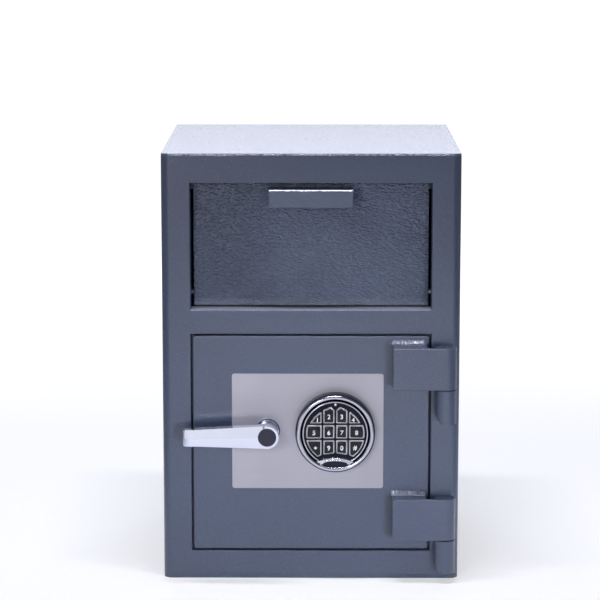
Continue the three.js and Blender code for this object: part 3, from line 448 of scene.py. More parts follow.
def make_floor():
    """A pale floor that keeps the shadow and looks white to the camera and in metal."""
    mesh = bpy.data.meshes.new("floor")
    half = FLOOR_HALF
    corners = [(-half, -half, 0), (half, -half, 0), (half, half, 0), (-half, half, 0)]
    mesh.from_pydata(corners, [], [(0, 1, 2, 3)])
    floor = show(bpy.data.objects.new("floor", mesh))
    made = bpy.data.materials.new("floor")
    made.use_nodes = True
    nodes = Nodes(made.node_tree)
    nodes.tree.nodes.clear()
    path = nodes.add("LightPath").outputs
    place = nodes.add("TexCoord").outputs["Object"]
    axes = nodes.add("SeparateXYZ", {0: place}).outputs
    mirrored = nodes.mirror_rays(path)
    aside = nodes.math("ABSOLUTE", axes["X"])
    for along, edges in ((aside, TABLE_SIDE), (axes["Y"], TABLE_FRONT)):
        mirrored = nodes.math("MULTIPLY", mirrored, nodes.eased(along, *edges, TABLE_BEYOND))
    seen = nodes.math("MAXIMUM", mirrored, path["Is Camera Ray"])
    reach = nodes.add("VectorMath", {0: place}, operation="LENGTH").outputs["Value"]
    glow = nodes.eased(reach, *GLOW_DISTANCES, *GLOW_STRENGTHS)
    light = nodes.add("Emission", {"Strength": nodes.math("MULTIPLY", seen, glow)})
    diffuse = nodes.add("BsdfDiffuse", {"Color": FLOOR_COLOR})
    both = nodes.add("AddShader", {0: diffuse.outputs[0], 1: light.outputs[0]})
    nodes.add("OutputMaterial", {"Surface": both.outputs[0]})
    mesh.materials.append(made)


# Materials


def paint(name, color, gloss=0.8, relief=0.3 * MM, coat_ior=1.65, wear_and_highlight=None):
    """Textured enamel, glossy where edges catch the light, rubbed bright along a worn edge, a band
    that is also a painted highlight.
    """
    made = Surface(
        name, color, roughness=0.5,
        Coat_Weight=gloss, Coat_Roughness=0.2, Coat_IOR=coat_ior, Specular_IOR_Level=0.25,
    )
    cloud = made.noise(ENAMEL_CLOUD, detail=3)
    fleck = made.ranged(made.noise(FLECK_SCALE, detail=1), *FLECK_RANGE)
    light = tuple(c + FLECK_ADDED for c in color[:3]) + (1,)
    toned = made.tint(made.spread(cloud), color, darker=0.93, lighter=1.06)
    made.set("Base Color", made.mixed(fleck, toned, light))
    speck = made.noise(ENAMEL_SPECK, detail=1)
    made.set("Roughness", made.spread(speck, 0.4, 0.56))
    swell = made.noise(ENAMEL_SWELL, detail=1)
    rolling = made.embossed(swell, relief, strength=0.6, edge=ENAMEL_EDGE)
    grain = made.noise(ENAMEL_GRAIN, roughness=0.6)
    made.set_both_normals(made.bump(grain, ENAMEL_GRAIN_DEPTH, strength=0.8, normal=rolling))
    if wear_and_highlight:
        made.rub_wear_and_highlight(*wear_and_highlight)
    return made.material


def ledge_paint_painted_light(name, color, bare):
    """Paint made lighter, with a fine light metallic speckle: painted light where light falls on a
    ledge.
    """
    made = Surface(name, color, roughness=0.45, Coat_Weight=0.6, Coat_Roughness=0.25)
    speckle = made.ranged(made.noise(scale=620, detail=3, roughness=0.7), 0.42, 0.56)
    made.set("Base Color", made.mixed(speckle, color, bare))
    made.set("Metallic", made.ranged(speckle, 0, 1, 0, 0.6))
    made.set_both_normals(made.embossed(speckle, 0.15 * MM, strength=0.8, edge=1.2 * MM))
    return made.material


def wrinkled_paint(name, color):
    """The leather like grain of the drawer front: soft pillows, wider than high, with painted shade
    in the grooves and painted light on the tops.
    """
    made = Surface(name, color, roughness=0.5, Coat_Weight=0.25, Coat_Roughness=0.2)
    sizes = {"Vector": made.place, "Scale": LEATHER_WANDER, "Detail": 2.0}
    wander = made.add("TexNoise", sizes).outputs["Color"]
    share = (LEATHER_SHIFT, LEATHER_SHIFT, LEATHER_SHIFT)
    shift = made.add("VectorMath", {0: wander, 1: share}, operation="MULTIPLY").outputs[0]
    moved = made.add("VectorMath", {0: made.place, 1: shift}, operation="ADD").outputs[0]
    wide = made.stretched(LEATHER_WIDTHS, moved)
    sizes = {"Vector": wide, "Scale": LEATHER_CELLS, "Smoothness": 0.4}
    cells = made.add("TexVoronoi", sizes, feature="SMOOTH_F1").outputs["Distance"]
    pillow = made.ranged(cells, 0.7, 0.0)
    swell = made.noise(LEATHER_SWELL, vector=wide)
    cloud = made.noise(LEATHER_CLOUD, detail=3)
    # The colour follows the pillows: painted shade in the grooves and painted light on the tops,
    # mixed with a random cloud
    pillow_shade_tone = made.ranged(made.math("ADD", pillow, made.spread(cloud)), 0.1, 1.7)
    height = made.add("SeparateXYZ", {0: made.place}).outputs["Z"]
    # The paint turns lighter towards the front's lower edge
    lighter_edge = made.ranged(height, *LIGHTER_EDGE_HEIGHTS, 0, LIGHTER_EDGE_SHARE)
    leather = made.tint(pillow_shade_tone, color, *LEATHER_SHADE_TONES)
    made.set("Base Color", made.mixed(lighter_edge, leather, LIGHTER_EDGE_COLOR))
    made.set("Roughness", made.spread(swell, 0.42, 0.6))
    rolling = made.embossed(swell, LEATHER_SWELL_DEPTH, strength=0.9, edge=0.6 * MM)
    made.set_both_normals(made.bump(pillow, LEATHER_PILLOW_DEPTH, strength=1.0, normal=rolling))
    return made.material


def brushed_metal(name, color, roughness, lines):
    """Metal with fine lines along the axis whose share in lines is small."""
    made = Surface(name, color, roughness, metallic=1.0)
    along = made.stretched(lines)
    fine = made.noise(scale=1900, detail=3, vector=along, roughness=0.7)
    broad = made.noise(scale=300, vector=along)
    cloud = made.noise(scale=11)
    made.set("Base Color", made.tint(made.spread(cloud), color, darker=0.96, lighter=1.04))
    made.set("Roughness", made.spread(broad, roughness - 0.02, roughness + 0.03))
    made.set("Normal", made.embossed(fine, 0.012 * MM, strength=0.5, edge=0.4 * MM))
    return made.material


def polished_chrome(name, color, roughness=0.07):
    """Bright plating over a casting that is a little uneven under it."""
    made = Surface(name, color, roughness, metallic=1.0)
    haze = made.noise(scale=60, detail=3)
    made.set("Roughness", made.ranged(haze, 0.35, 0.75, roughness, roughness + 0.07))
    uneven = made.noise(scale=45, detail=1)
    made.set("Normal", made.bump(uneven, 0.25 * MM, strength=0.35))
    return made.material


def zinc_plate(name, color):
    """Plated sheet with a faint crystal pattern and a warm cast in places."""
    made = Surface(name, color, roughness=0.42, metallic=1.0)
    crystals = made.add("TexVoronoi", {"Vector": made.place, "Scale": 120.0}).outputs["Distance"]
    cast = made.ranged(made.noise(scale=26, detail=3), 0.35, 0.65)
    cool, warm = scaled(color, 0.9, 0.94, 1.0), scaled(color, 1.03, 1.0, 0.9)
    made.set("Base Color", made.mixed(cast, cool, warm))
    made.set("Roughness", made.ranged(crystals, 0.0, 0.8, 0.34, 0.5))
    fine = made.noise(scale=900)
    made.set("Normal", made.embossed(fine, 0.03 * MM, strength=0.5, edge=0.4 * MM))
    return made.material


def turned_steel(name, color):
    """Machined bar with tool marks round it."""
    made = Surface(name, color, roughness=0.34, metallic=1.0)
    marks = made.noise(scale=900, vector=made.stretched((1.0, 0.02, 0.02)))
    stain = made.noise(scale=40, detail=3)
    stained = made.ranged(stain, 0.3, 0.75)
    made.set("Base Color", made.tint(stained, color, darker=0.86, lighter=1.06))
    made.set("Roughness", made.spread(stain, 0.28, 0.46))
    made.set("Normal", made.embossed(marks, 0.03 * MM, strength=0.7, edge=0.4 * MM))
    return made.material


def moulded(name, color, roughness, grain, depth, coat=UNCOATED, specular=0.5):
    """Moulded plastic or rubber with a spark grain; coat is weight, roughness and IOR."""
    weight, coat_roughness, ior = coat
    made = Surface(
        name, color, roughness,
        Coat_Weight=weight, Coat_Roughness=coat_roughness, Coat_IOR=ior,
        Specular_IOR_Level=specular,
    )
    spark = made.noise(grain)
    cloud = made.noise(scale=50)
    made.set("Base Color", made.tint(made.spread(cloud), color, darker=0.9, lighter=1.12))
    made.set("Roughness", made.spread(spark, roughness - 0.05, roughness + 0.08))
    made.set("Normal", made.embossed(spark, depth, strength=0.6, edge=0.25 * MM))
    return made.material


def circuit_board(name, color):
    """Solder mask with a raised pattern of tracks."""
    made = Surface(name, color, roughness=0.35, Coat_Weight=0.4, Coat_Roughness=0.2)
    sizes = {"Vector": made.place, "Scale": 160.0, "Mortar Size": 0.03}
    tracks = made.add("TexBrick", sizes).outputs["Fac"]
    made.set("Base Color", made.mixed(tracks, color, scaled(color, 1.7)))
    made.set("Normal", made.bump(tracks, 0.05 * MM, strength=0.7))
    return made.material


def lens(name, color):
    """Clear tinted plastic over a weak light."""
    made = Surface(
        name, color, roughness=0.15,
        Coat_Weight=0.6, Emission_Strength=0.2, Emission_Color=color,
    )
    made.set("Roughness", made.spread(made.noise(scale=700, detail=1), 0.1, 0.22))
    return made.material


# For each slot of the record, what makes its material and what that is given after the name
FINISHES = {
    "body_paint": (paint, srgb(60, 72, 99)),
    "drawer_paint": (wrinkled_paint, srgb(95, 106, 132)),
    "stainless": (brushed_metal, srgb(178, 177, 190), 0.5, (0.02, 1.0, 1.0)),
    "chrome": (polished_chrome, srgb(215, 219, 238)),
    "zinc_plate": (zinc_plate, srgb(168, 171, 178)),
    "bare_steel": (turned_steel, srgb(150, 152, 158)),
    "black_plastic": (moulded, srgb(16, 16, 28), 0.5, 1600, 0.03 * MM, UNCOATED, 0.15),
    "badge_plastic": (moulded, srgb(20, 20, 32), 0.3, 2400, 0.01 * MM, (0.6, 0.12, 1.3), 0.1),
    "key_rubber": (moulded, srgb(10, 10, 24), 0.5, 1800, 0.01 * MM, (1.0, 0.13, 1.4), 0.0),
    "buffer_rubber": (moulded, srgb(26, 26, 28), 0.7, 1300, 0.08 * MM),
    "circuit_board": (circuit_board, srgb(26, 84, 52)),
    "light": (lens, srgb(226, 228, 240)),
}
finishes = {slot: make(slot, *values) for slot, (make, *values) in FINISHES.items()}

# Materials of pieces that differ from their slot's
# The sill's paint is much lighter than the body's, with a light speckle: painted light on the ledge
sill_painted_light = ledge_paint_painted_light("sill_painted_light", srgb(138, 144, 164), srgb(210, 212, 224))
# Dark steel for the dead bar: mill scale, and painted shade where it shows in the door gap
mill_scale_and_gap_shade = turned_steel("mill_scale_and_gap_shade", srgb(58, 60, 68))
# Dark moulding of the bezel's cup and groove, partly painted shade and dark reflection on the
# chrome
dark_rim_and_shade = moulded("dark_rim_and_shade", srgb(20, 20, 32), 0.35, 1600, 0.02 * MM, (0.2, 0.12, 1.4), 0.15)
key_outline = moulded("key_outline", srgb(182, 182, 194), 0.5, 1800, 0.01 * MM)
print_white = moulded("print_white", srgb(236, 236, 244), 0.5, 2600, 0.005 * MM)
# Paler than the body paint: a painted highlight on the weld beads and ground seams
bead_paint_painted_highlight = paint("bead_paint_painted_highlight", srgb(100, 109, 134), gloss=1.0, relief=0.9 * MM, coat_ior=2.2)
ring_chrome = polished_chrome("ring_chrome", srgb(188, 190, 204), roughness=0.14)
satin_chrome = polished_chrome("satin_chrome", srgb(168, 168, 180), roughness=0.3)
cap_plastic = moulded("cap_plastic", srgb(50, 50, 66), 0.45, 1500, 0.03 * MM, specular=0.2)


# Geometry helpers


def place_piece(name, work, materials, body, smooth_below=30):
    """Turns mesh data into a piece on a body. It is smooth over bends under smooth_below."""
    mesh = bpy.data.meshes.new(name)
    bmesh.ops.dissolve_degenerate(work, edges=work.edges[:], dist=MERGE)
    bmesh.ops.recalc_face_normals(work, faces=work.faces[:])
    work.normal_update()
    limit = math.radians(smooth_below)
    for face in work.faces:
        face.smooth = True
    for edge in work.edges:
        edge.smooth = len(edge.link_faces) == 2 and edge.calc_face_angle(math.pi) < limit
    work.to_mesh(mesh)
    work.free()
    if "custom_normal" in mesh.attributes:
        mesh.attributes.remove(mesh.attributes["custom_normal"])
    for item in materials:
        mesh.materials.append(item)
    piece = show(bpy.data.objects.new(name, mesh))
    piece.modifiers.new("flats", "WEIGHTED_NORMAL").keep_sharp = True
    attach(piece, body)
    return piece


def copy_node(node):
    """A CAD node's mesh with shared corners and whole flat faces."""
    work = bmesh.new()
    work.from_mesh(frame["nodes"][node].data)
    bmesh.ops.remove_doubles(work, verts=work.verts[:], dist=MERGE)
    bmesh.ops.dissolve_degenerate(work, edges=work.edges[:], dist=MERGE)
    limit = math.radians(FLAT_DEGREES)
    bmesh.ops.dissolve_limit(work, angle_limit=limit, verts=work.verts[:], edges=work.edges[:])
    work.normal_update()
    return work


def dress(node):
    """A copy of a CAD node with smooth rounds stands for the node."""
    slot = slot_of[node]
    piece = place_piece(f"{node}_skin", copy_node(node), [finishes[slot]], body_of[node])
    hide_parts(node)


def prism(work, outline, near, far):
    """Adds a closed prism between two Y planes from an outline of X and Z."""
    front = [work.verts.new((x, near, z)) for x, z in outline]
    back = [work.verts.new((x, far, z)) for x, z in outline]
    count = len(outline)
    near_face = work.faces.new(front)
    far_face = work.faces.new(back[::-1])
    for i in range(count):
        following = (i + 1) % count
        work.faces.new((front[i], front[following], back[following], back[i]))
    return near_face, far_face


def join_rings(work, rings, closed=False, material_of=None):
    """Joins rings of corners in their order, with caps unless the last meets the first."""
    count = len(rings[0])
    others = rings[1:] + rings[:1] if closed else rings[1:]
    for level, (one, two) in enumerate(zip(rings, others)):
        for i in range(count):
            following = (i + 1) % count
            face = work.faces.new((one[i], one[following], two[following], two[i]))
            if material_of:
                face.material_index = material_of(level)
    if not closed:
        work.faces.new(rings[0][::-1])
        work.faces.new(rings[-1])


def slice_mesh(work, places, normal):
    """Adds lines of vertices where the mesh crosses planes with that normal."""
    for place in places:
        parts = work.verts[:] + work.edges[:] + work.faces[:]
        bmesh.ops.bisect_plane(work, geom=parts, plane_co=place, plane_no=normal, dist=MERGE_FINE)


def oval(half_width, half_height, steps):
    """Points round an oval about the origin, as pairs."""
    turns = [2 * math.pi * i / steps for i in range(steps)]
    return [(half_width * math.cos(turn), half_height * math.sin(turn)) for turn in turns]


def arc_points(centre, radius, start, end, steps):
    """Points on an arc between two angles in degrees, as pairs."""
    points = []
    for i in range(steps + 1):
        turn = math.radians(start + (end - start) * i / steps)
        points.append((centre[0] + radius * math.cos(turn), centre[1] + radius * math.sin(turn)))
    return points


def lathe(work, centre, profile, material_of=None):
    """Turns a closed profile of radius and Y about an axis through X and Z of the centre."""
    rings = []
    for radius, y in profile:
        circle = oval(radius, radius, FINE)
        rings.append([work.verts.new((centre.x + u, y, centre.z + v)) for u, v in circle])
    join_rings(work, rings, closed=True, material_of=material_of)


# Lever


def lever_arm(hub, tip, centre, back):
    """The arm, its front folded along a ridge into two facets and bent back at the tip."""
    body = body_of["lever_handle"]
    length = centre.x - tip
    slope = math.degrees(math.atan2(hub - LEVER_TIP_TOP, length))
    outline = arc_points((centre.x, centre.z), hub, 90 + slope, -90, ROUND)
    corner, steps = LEVER_TIP_CORNER, LEVER_CORNER_STEPS
    top, bottom = centre.z + LEVER_TIP_TOP, centre.z - LEVER_TIP_BOTTOM
    outline += arc_points((tip + corner, bottom + corner), corner, -90, -180, steps)
    outline += arc_points((tip + corner, top - corner), corner, 180, 90, steps)
    work = bmesh.new()
    rims = {edge for face in prism(work, outline, centre.y, back) for edge in face.edges}
    bmesh.ops.bevel(
        work, geom=list(rims), offset=LEVER_EDGE, segments=LEVER_EDGE_STEPS, profile=0.5,
        affect="EDGES",
    )
    fall = (LEVER_TIP_BOTTOM - LEVER_TIP_TOP) / 2

    def ridge(x):
        """The height at which the facets meet."""
        return centre.z - fall * (centre.x - x) / length

    slice_mesh(work, [centre], (-fall, 0, length))
    bend = tip + LEVER_BEND_LENGTH
    start = hub * LEVER_SLOPE_START
    columns = [centre.x - start * i / LEVER_SLOPE_STEPS for i in range(LEVER_SLOPE_STEPS + 1)]
    slice_mesh(work, [(x, 0, 0) for x in (bend, *columns)], (1, 0, 0))
    for vert in work.verts:
        if vert.co.y > (centre.y + back) / 2:
            continue
        grown = min(1, max(0, (centre.x - vert.co.x) / start))
        above = max(0, vert.co.z - ridge(vert.co.x))
        folded = max(0, (bend - vert.co.x) / LEVER_BEND_LENGTH)
        vert.co.y += LEVER_SLOPE * grown * above + LEVER_BEND_DEPTH * folded
    arm = place_piece("lever_arm", work, [finishes["chrome"]], body, smooth_below=24)
    for edge in arm.data.edges:
        ends = [arm.data.vertices[i].co for i in edge.vertices]
        off = max(abs(end.z - ridge(end.x)) for end in ends)
        if off < RIDGE_NEAR and max(end.y for end in ends) < back - LEVER_EDGE:
            edge.use_edge_sharp = True
    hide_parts("lever_handle")


def lever_neck(centre, near, far):
    """The neck behind the hub, flared where it meets the plate."""
    neck = [(NECK_CORE, far), (NECK_RADIUS + NECK_FLARE, far)]
    for i in range(1, NECK_FLARE_STEPS + 1):
        share = i / NECK_FLARE_STEPS
        radius = NECK_RADIUS + NECK_FLARE * (1 - share) ** 3
        neck.append((radius, far - (far - near) * share))
    neck.append((NECK_CORE, near))
    work = bmesh.new()
    lathe(work, centre, neck)
    place_piece("lever_neck", work, [satin_chrome], body_of["lever_handle"])


def lever_pieces():
    """The arm with its hub, and the neck between that and the stainless plate."""
    low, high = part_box("lever_handle")
    hub = (high.z - low.z) / 2
    centre = Vector((high.x - hub, low.y, (low.z + high.z) / 2))
    back = low.y + LEVER_THICKNESS
    lever_arm(hub, low.x, centre, back)
    lever_neck(centre, back - LEVER_EDGE, high.y)


# Keypad


def keypad_bezel():
    """A dark cup with a bright roll round its rim and a thin bright ring inside that; the dark cup
    wall and groove are partly painted shade and dark reflection.
    """
    low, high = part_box("keypad_bezel")
    radius = (high.x - low.x) / 2
    centre = Vector(((low.x + high.x) / 2, 0, (low.z + high.z) / 2))
    front, back = low.y, high.y
    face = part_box("keypad_face")[0].y
    wall = radius - BEZEL_WALL
    lip = radius - BEZEL_LIP
    roll = (radius - ROLL_INSET - ROLL_RADIUS, front + ROLL_RADIUS)
    ring = (radius - RING_INSET, front + RING_SINK + RING_RADIUS)
    step = ring[1] + RING_SINK
    cup = [(wall, back), (radius, back), (radius, roll[1] + ROLL_INSET)]
    bright = arc_points(roll, ROLL_RADIUS, 0, -180, ROLL_STEPS)
    groove = [(roll[0] - ROLL_RADIUS, step), (ring[0] + RING_RADIUS, step)]
    thin = arc_points(ring, RING_RADIUS, 0, -180, RING_STEPS)
    inner = [(lip, step), (lip, face), (wall, face)]
    shines = set(range(len(cup), len(cup + bright) - 1))
    shines |= set(range(len(cup + bright + groove), len(cup + bright + groove + thin) - 1))
    work = bmesh.new()
    profile = cup + bright + groove + thin + inner
    lathe(work, centre, profile, lambda level: 0 if level in shines else 1)
    body = body_of["keypad_bezel"]
    rim = place_piece("bezel_ring", work, [ring_chrome, dark_rim_and_shade], body, smooth_below=50)
    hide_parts("keypad_bezel")
    return centre, face


def crescent_outline(lower, upper, apart):
    """A lens about the keypad's axis, between an arc round it and one from far below it."""
    level = -(apart ** 2 + lower ** 2 - upper ** 2) / (2 * apart)
    half = math.sqrt(lower ** 2 - level ** 2)
    spread = math.degrees(math.atan2(half, level + apart))
    under = math.degrees(math.atan2(half, -level))
    outline = arc_points((0, -apart), upper, 90 - spread, 90 + spread, ROUND)
    return outline + arc_points((0, 0), lower, 270 - under, 270 + under, ROUND)[1:-1]


def keypad_crescent(centre, face):
    """The lens shaped plate under the keys, rounded along its rim."""
    rise = math.sqrt(CRESCENT_REACH ** 2 - CRESCENT_HALF ** 2) - CRESCENT_TOP
    radius = (CRESCENT_HALF ** 2 + rise ** 2) / (2 * rise)
    levels = [(0, face)]
    for i in range(CRESCENT_STEPS + 1):
        turn = math.pi / 2 * i / CRESCENT_STEPS
        depth = face - CRESCENT_PROUD + CRESCENT_EDGE * (1 - math.sin(turn))
        levels.append((CRESCENT_EDGE * (1 - math.cos(turn)), depth))
    work = bmesh.new()
    rings = []
    for inset, y in levels:
        outline = crescent_outline(CRESCENT_REACH - inset, radius - inset, CRESCENT_TOP + radius)
        rings.append([work.verts.new((centre.x + x, y, centre.z + z)) for x, z in outline])
    join_rings(work, rings)
    body = body_of["keypad_bezel"]
    place_piece("bezel_crescent", work, [ring_chrome], body, smooth_below=40)


def keypad_badge(face):
    """A bare oval: a domed dark plate in a thin bright rim."""
    low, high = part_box("keypad_badge")
    middle = Vector(((low.x + high.x) / 2, 0, (low.z + high.z) / 2))
    seat = face - CRESCENT_PROUD
    body = body_of["keypad_badge"]
    work = bmesh.new()
    rings = []
    for level in range(BADGE_LEVELS):
        turn = math.pi / 2 * level / BADGE_LEVELS
        share = math.cos(turn)
        y = seat + BADGE_RIM - (BADGE_RIM + BADGE_CROWN) * math.sin(turn)
        points = oval(BADGE_HALF_WIDTH * share, BADGE_HALF_HEIGHT * share, ROUND)
        rings.append([work.verts.new((middle.x + u, y, middle.z + v)) for u, v in points])
    join_rings(work, rings)
    dark = finishes["badge_plastic"]
    plate = place_piece("badge_plate", work, [dark], body, smooth_below=60)
    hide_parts("keypad_badge")
    work = bmesh.new()
    tube = []
    for u, v in oval(BADGE_HALF_WIDTH + BADGE_RIM, BADGE_HALF_HEIGHT + BADGE_RIM, FINE):
        out = Vector((u / (BADGE_HALF_WIDTH ** 2), 0, v / (BADGE_HALF_HEIGHT ** 2))).normalized()
        here = Vector((middle.x + u, seat, middle.z + v))
        loop = []
        for cosine, sine in oval(1, 1, BADGE_RIM_SIDES):
            offset = out * cosine + Vector((0, -1, 0)) * sine
            loop.append(work.verts.new(here + offset * BADGE_RIM))
        tube.append(loop)
    join_rings(work, tube, closed=True)
    place_piece("badge_rim", work, [finishes["chrome"]], body, smooth_below=60)


def key_dome(node, x, z):
    """How far the top of a key stands out at a place."""
    low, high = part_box(node)
    across = 2 * (x - low.x) / (high.x - low.x) - 1
    up = 2 * (z - low.z) / (high.z - low.z) - 1
    falls = [max(0, 1 - abs(share) ** KEY_DOME_POWER) for share in (across, up)]
    return KEY_DOME * falls[0] * falls[1]


def key_piece(node):
    """The CAD key with a light outline and its top raised into a low dome."""
    low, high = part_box(node)
    work = copy_node(node)
    corners = []
    for edge in work.edges:
        along = (edge.verts[0].co - edge.verts[1].co).normalized()
        if abs(along.y) > RUNNING_BACK and edge.calc_face_angle(0) > KEY_CORNER_ANGLE:
            corners.append(edge)
    bmesh.ops.bevel(
        work, geom=corners, offset=KEY_CORNER, segments=KEY_CORNER_STEPS, profile=0.5,
        affect="EDGES",
    )
    work.normal_update()
    top = [face for face in work.faces if face.normal.y < FACING_FRONT]
    for face in work.faces:
        if face.normal.y < FACING_PARTLY_FRONT:
            face.material_index = 1
    bmesh.ops.inset_region(work, faces=top, thickness=KEY_OUTLINE)
    for face in top:
        face.material_index = 0
    for i in range(1, KEY_SLICES):
        share = i / KEY_SLICES
        slice_mesh(work, [(low.x + (high.x - low.x) * share, 0, 0)], (1, 0, 0))
        slice_mesh(work, [(0, 0, low.z + (high.z - low.z) * share)], (0, 0, 1))
    for vert in work.verts:
        if vert.co.y < low.y + KEY_TOP_DEPTH:
            vert.co.y -= key_dome(node, vert.co.x, vert.co.z)
    materials = [finishes["key_rubber"], key_outline]
    piece = place_piece(f"{node}_cap", work, materials, body_of[node])
    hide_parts(node)


def key_middle(node):
    """The middle of a key's area, weighed by its front faces."""
    mesh = frame["nodes"][node].data
    tops = [face for face in mesh.polygons if face.normal.y < FACING_FRONT]
    whole = sum(face.area for face in tops)
    return sum((face.center * face.area for face in tops), Vector()) / whole


def star_mark():
    """A closed six armed asterisk about the origin, as thick as the digits."""
    work = bmesh.new()
    outline = []
    for arm in range(STAR_ARMS):
        turn = math.pi / 2 + 2 * math.pi / STAR_ARMS * arm
        between = turn + math.pi / STAR_ARMS
        along = Vector((math.cos(turn), math.sin(turn)))
        side = Vector((-along.y, along.x))
        notch = Vector((math.cos(between), math.sin(between)))
        outline += [along * STAR_REACH - side * STAR_ARM, along * STAR_REACH + side * STAR_ARM]
        outline.append(notch * STAR_ARM * 2)
    front = [work.verts.new((x, y, DIGIT_SUNK)) for x, y in outline]
    back = [work.verts.new((x, y, -DIGIT_SUNK)) for x, y in outline]
    join_rings(work, [back, front])
    return work


def digit_mark(node):
    """The closed mesh of a key's digit about the origin."""
    curve = bpy.data.curves.new(f"{node}_mark", "FONT")
    curve.body = KEY_MARKS.get(node, node[-1])
    curve.size = DIGIT_SIZE
    curve.align_x = "CENTER"
    curve.align_y = "CENTER"
    curve.offset = DIGIT_WEIGHT
    curve.extrude = DIGIT_SUNK
    curve.resolution_u = DIGIT_CURVE_STEPS
    text = show(bpy.data.objects.new(f"{node}_text", curve))
    bpy.context.view_layer.update()
    shaped = text.evaluated_get(bpy.context.evaluated_depsgraph_get())
    mesh = bpy.data.meshes.new_from_object(shaped)
    bpy.data.objects.remove(text)
    work = bmesh.new()
    work.from_mesh(mesh)
    bpy.data.meshes.remove(mesh)
    bmesh.ops.remove_doubles(work, verts=work.verts[:], dist=MERGE_FINE)
    return work


def key_mark(node):
    """The printed mark of a key, laid on its dome slightly below the middle."""
    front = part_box(node)[0].y
    work = star_mark() if node == "key_star" else digit_mark(node)
    for i in range(-DIGIT_SLICES, DIGIT_SLICES + 1):
        slice_mesh(work, [(i * DIGIT_STEP, 0, 0)], (1, 0, 0))
        slice_mesh(work, [(0, i * DIGIT_STEP, 0)], (0, 1, 0))
    middle = key_middle(node)
    heights = [vert.co.y for vert in work.verts]
    tall = max(heights) + min(heights)
    for vert in work.verts:
        x = middle.x + vert.co.x
        z = middle.z + vert.co.y - tall / 2 - DIGIT_DROP
        stand = DIGIT_PROUD if vert.co.z > 0 else -DIGIT_SUNK
        vert.co = (x, front - key_dome(node, x, z) - stand, z)
    place_piece(f"{node}_mark", work, [print_white], body_of[node], smooth_below=40)


# Deposit opening, drawer front and drawer pull


def paint_light_on_ledge():
    """The lower edge of the deposit opening gets the same painted light as the sill behind it."""
    wrap = bpy.data.objects["casing_wrap_skin"].data
    wrap.materials.append(sill_painted_light)
    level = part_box("drawer_sill")[1].z
    for face in wrap.polygons:
        if face.normal.z > FACING_UP and abs(face.center.z - level) < MM:
            face.material_index = 1
    frame["nodes"]["drawer_sill"].material_slots[0].material = sill_painted_light


def drawer_panel():
    """The drawer front with a narrower gap over the sill than the node leaves."""
    low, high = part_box("drawer_front")
    work = copy_node("drawer_front")
    for vert in work.verts:
        if vert.co.z < (low.z + high.z) / 2:
            vert.co.z -= FRONT_DROP
    slot = slot_of["drawer_front"]
    panel = place_piece("drawer_panel", work, [finishes[slot]], body_of["drawer_front"])
    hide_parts("drawer_front")


def drawer_pull():
    """The bent lip, its top a little higher than the node's, rubbed bright along the bend as wear
    and as a painted highlight.
    """
    low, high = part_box("drawer_pull")
    work = copy_node("drawer_pull")
    for vert in work.verts:
        if vert.co.z > (low.z + high.z) / 2:
            vert.co.z += PULL_RAISE
    # The rubbed band is wear and also the painted highlight along the bend
    wear_and_highlight_y = low.y + PULL_BEND * PULL_WEAR_AND_HIGHLIGHT_FRONT
    wear_and_highlight_z = high.z + PULL_RAISE - PULL_BEND * PULL_WEAR_AND_HIGHLIGHT_TOP
    rubbed_and_highlit = paint("pull_paint", srgb(76, 87, 113), relief=0.7 * MM, wear_and_highlight=(wear_and_highlight_y, wear_and_highlight_z))
    piece = place_piece("pull_lip", work, [rubbed_and_highlit], body_of["drawer_pull"])
    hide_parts("drawer_pull")


# Welds and screws


def ground_seam(name, start, end, node):
    """A rough weld, ground nearly flush, along a straight joint."""
    start, end = Vector(start), Vector(end)
    chance = random.Random(name)
    along = (end - start).normalized()
    side = along.cross(Vector((0, 1, 0))).normalized()
    other = along.cross(side)
    count = int((end - start).length / SEAM_STEP)
    work = bmesh.new()
    rings = []
    for i in range(count + 1):
        radius = SEAM_RADIUS * chance.uniform(*SEAM_RADIUS_SHARES)
        drift = chance.uniform(-SEAM_DRIFT_SHARE, SEAM_DRIFT_SHARE) * SEAM_RADIUS
        centre = start + (end - start) * i / count + (side + other) * drift
        circle = oval(1, 1, SEAM_SIDES)
        rings.append([work.verts.new(centre + radius * (side * u + other * v)) for u, v in circle])
    join_rings(work, rings)
    place_piece(name, work, [bead_paint_painted_highlight], body_of[node], smooth_below=60)


def ground_seams():
    """The lid's front edge and the three joints round the back plate."""
    low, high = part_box("top_plate")
    front, lid = low.y + SEAM_SUNK, low.z
    left, right, raised = low.x + SEAM_MARGIN, high.x - SEAM_MARGIN, lid + SEAM_RISE
    ground_seam("seam_lid", (left, front, raised), (right, front, raised), "top_plate")
    low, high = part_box("back_plate")
    back = high.y - SEAM_SUNK
    for side, x in (("left", low.x), ("right", high.x)):
        ground_seam(f"seam_back_{side}", (x, back, SEAM_MARGIN), (x, back, lid), "back_plate")
    ground_seam("seam_back_top", (low.x, back, lid), (high.x, back, lid), "back_plate")


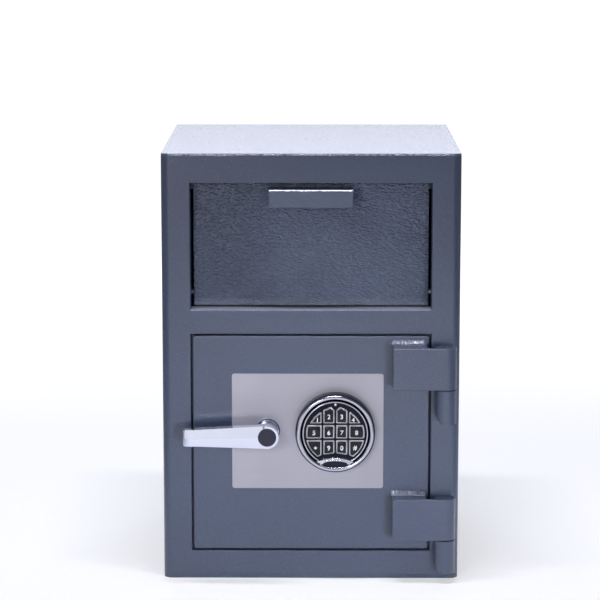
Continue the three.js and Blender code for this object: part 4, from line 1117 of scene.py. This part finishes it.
def weld_bead(strap):
    """A rippled fillet weld where the top of the hinge pad meets the door."""
    low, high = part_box(strap)
    door_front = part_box("door_plate")[0].y
    start, end = low.x - BEAD_OVERHANG, low.x + PAD_WIDTH
    chance = random.Random(strap)
    lumps = [chance.uniform(*BEAD_LUMPS) for _ in range(int((end - start) / BEAD_PITCH) + 2)]
    work = bmesh.new()
    rings = []
    for i in range(BEAD_STEPS + 1):
        share = i / BEAD_STEPS
        x = start + (end - start) * share
        place = (x - start) / BEAD_PITCH
        lump = lumps[int(place)]
        ripple = BEAD_RIPPLE * abs(math.sin(math.pi * place)) * lump
        taper = math.sqrt(max(BEAD_END, min(1, 4 * share * (1 - share) * BEAD_TAPER)))
        thickness = BEAD_LEG * (1 - BEAD_LUMP_SHARE + BEAD_LUMP_SHARE * lump)
        leg = (thickness + ripple) * taper
        ring = [work.verts.new((x, door_front, high.z))]
        for k in range(BEAD_SIDES + 1):
            turn = math.pi / 2 * k / BEAD_SIDES
            roundness = 1 - BEAD_ROUNDNESS + BEAD_ROUNDNESS * abs(math.cos(2 * turn))
            bulge = leg * roundness
            y = door_front - bulge * math.cos(turn)
            ring.append(work.verts.new((x, y, high.z + bulge * math.sin(turn))))
        rings.append(ring)
    join_rings(work, rings)
    place_piece(f"{strap}_bead", work, [bead_paint_painted_highlight], body_of[strap], smooth_below=60)


def socket_outline():
    """The hexagon of a screw's socket, with as many points as the screw's head."""
    points = []
    for i in range(SCREW_SIDES):
        turn = 2 * math.pi * i / SCREW_SIDES
        local = (turn + math.pi / HEX) % (2 * math.pi / HEX) - math.pi / HEX
        radius = SCREW_SOCKET * math.cos(math.pi / HEX) / math.cos(local)
        points.append((radius * math.cos(turn), radius * math.sin(turn)))
    return points


def pan_screw(name, x, z, seat):
    """A button head screw with a hexagon socket, on the back of the door pan."""
    levels = []
    for level in range(SCREW_LEVELS + 1):
        turn = SCREW_DOME * level / SCREW_LEVELS
        radius = SCREW_RADIUS * math.cos(turn)
        height = SCREW_HEIGHT * math.sin(turn) / math.sin(SCREW_DOME)
        levels.append((seat + height, oval(radius, radius, SCREW_SIDES)))
    for depth in (0, SCREW_SOCKET_DEPTH):
        levels.append((seat + SCREW_HEIGHT - depth, socket_outline()))
    work = bmesh.new()
    rings = [[work.verts.new((x + u, y, z + v)) for u, v in outline] for y, outline in levels]
    join_rings(work, rings)
    place_piece(name, work, [finishes["zinc_plate"]], "door", smooth_below=40)


def pan_screws():
    """One screw near each corner of the door pan."""
    low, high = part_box("door_pan")
    for hand, x in (("left", low.x + SCREW_INSET), ("right", high.x - SCREW_INSET)):
        for level, z in (("lower", low.z + SCREW_INSET), ("upper", high.z - SCREW_INSET)):
            pan_screw(f"pan_screw_{level}_{hand}", x, z, high.y)


# Putting it together

bpy.context.scene.view_settings.view_transform = "Standard"
make_camera()
make_lights()
make_world()
make_floor()

keys = [node for node in slot_of if slot_of[node] == "key_rubber"]
for node in slot_of:
    if node in FLAT:
        frame["nodes"][node].material_slots[0].material = finishes[slot_of[node]]
    elif node not in MODELLED and node not in keys:
        dress(node)
bpy.data.objects["handle_cap_skin"].material_slots[0].material = cap_plastic
# The dead bar's dark steel is partly painted shade for the door gap
frame["nodes"]["dead_bar"].material_slots[0].material = mill_scale_and_gap_shade

lever_pieces()
keypad_centre, keypad_face = keypad_bezel()
keypad_crescent(keypad_centre, keypad_face)
keypad_badge(keypad_face)
for node in keys:
    key_piece(node)
    key_mark(node)
for strap in ("upper_hinge_strap", "lower_hinge_strap"):
    weld_bead(strap)
paint_light_on_ledge()
drawer_panel()
drawer_pull()
ground_seams()
pan_screws()
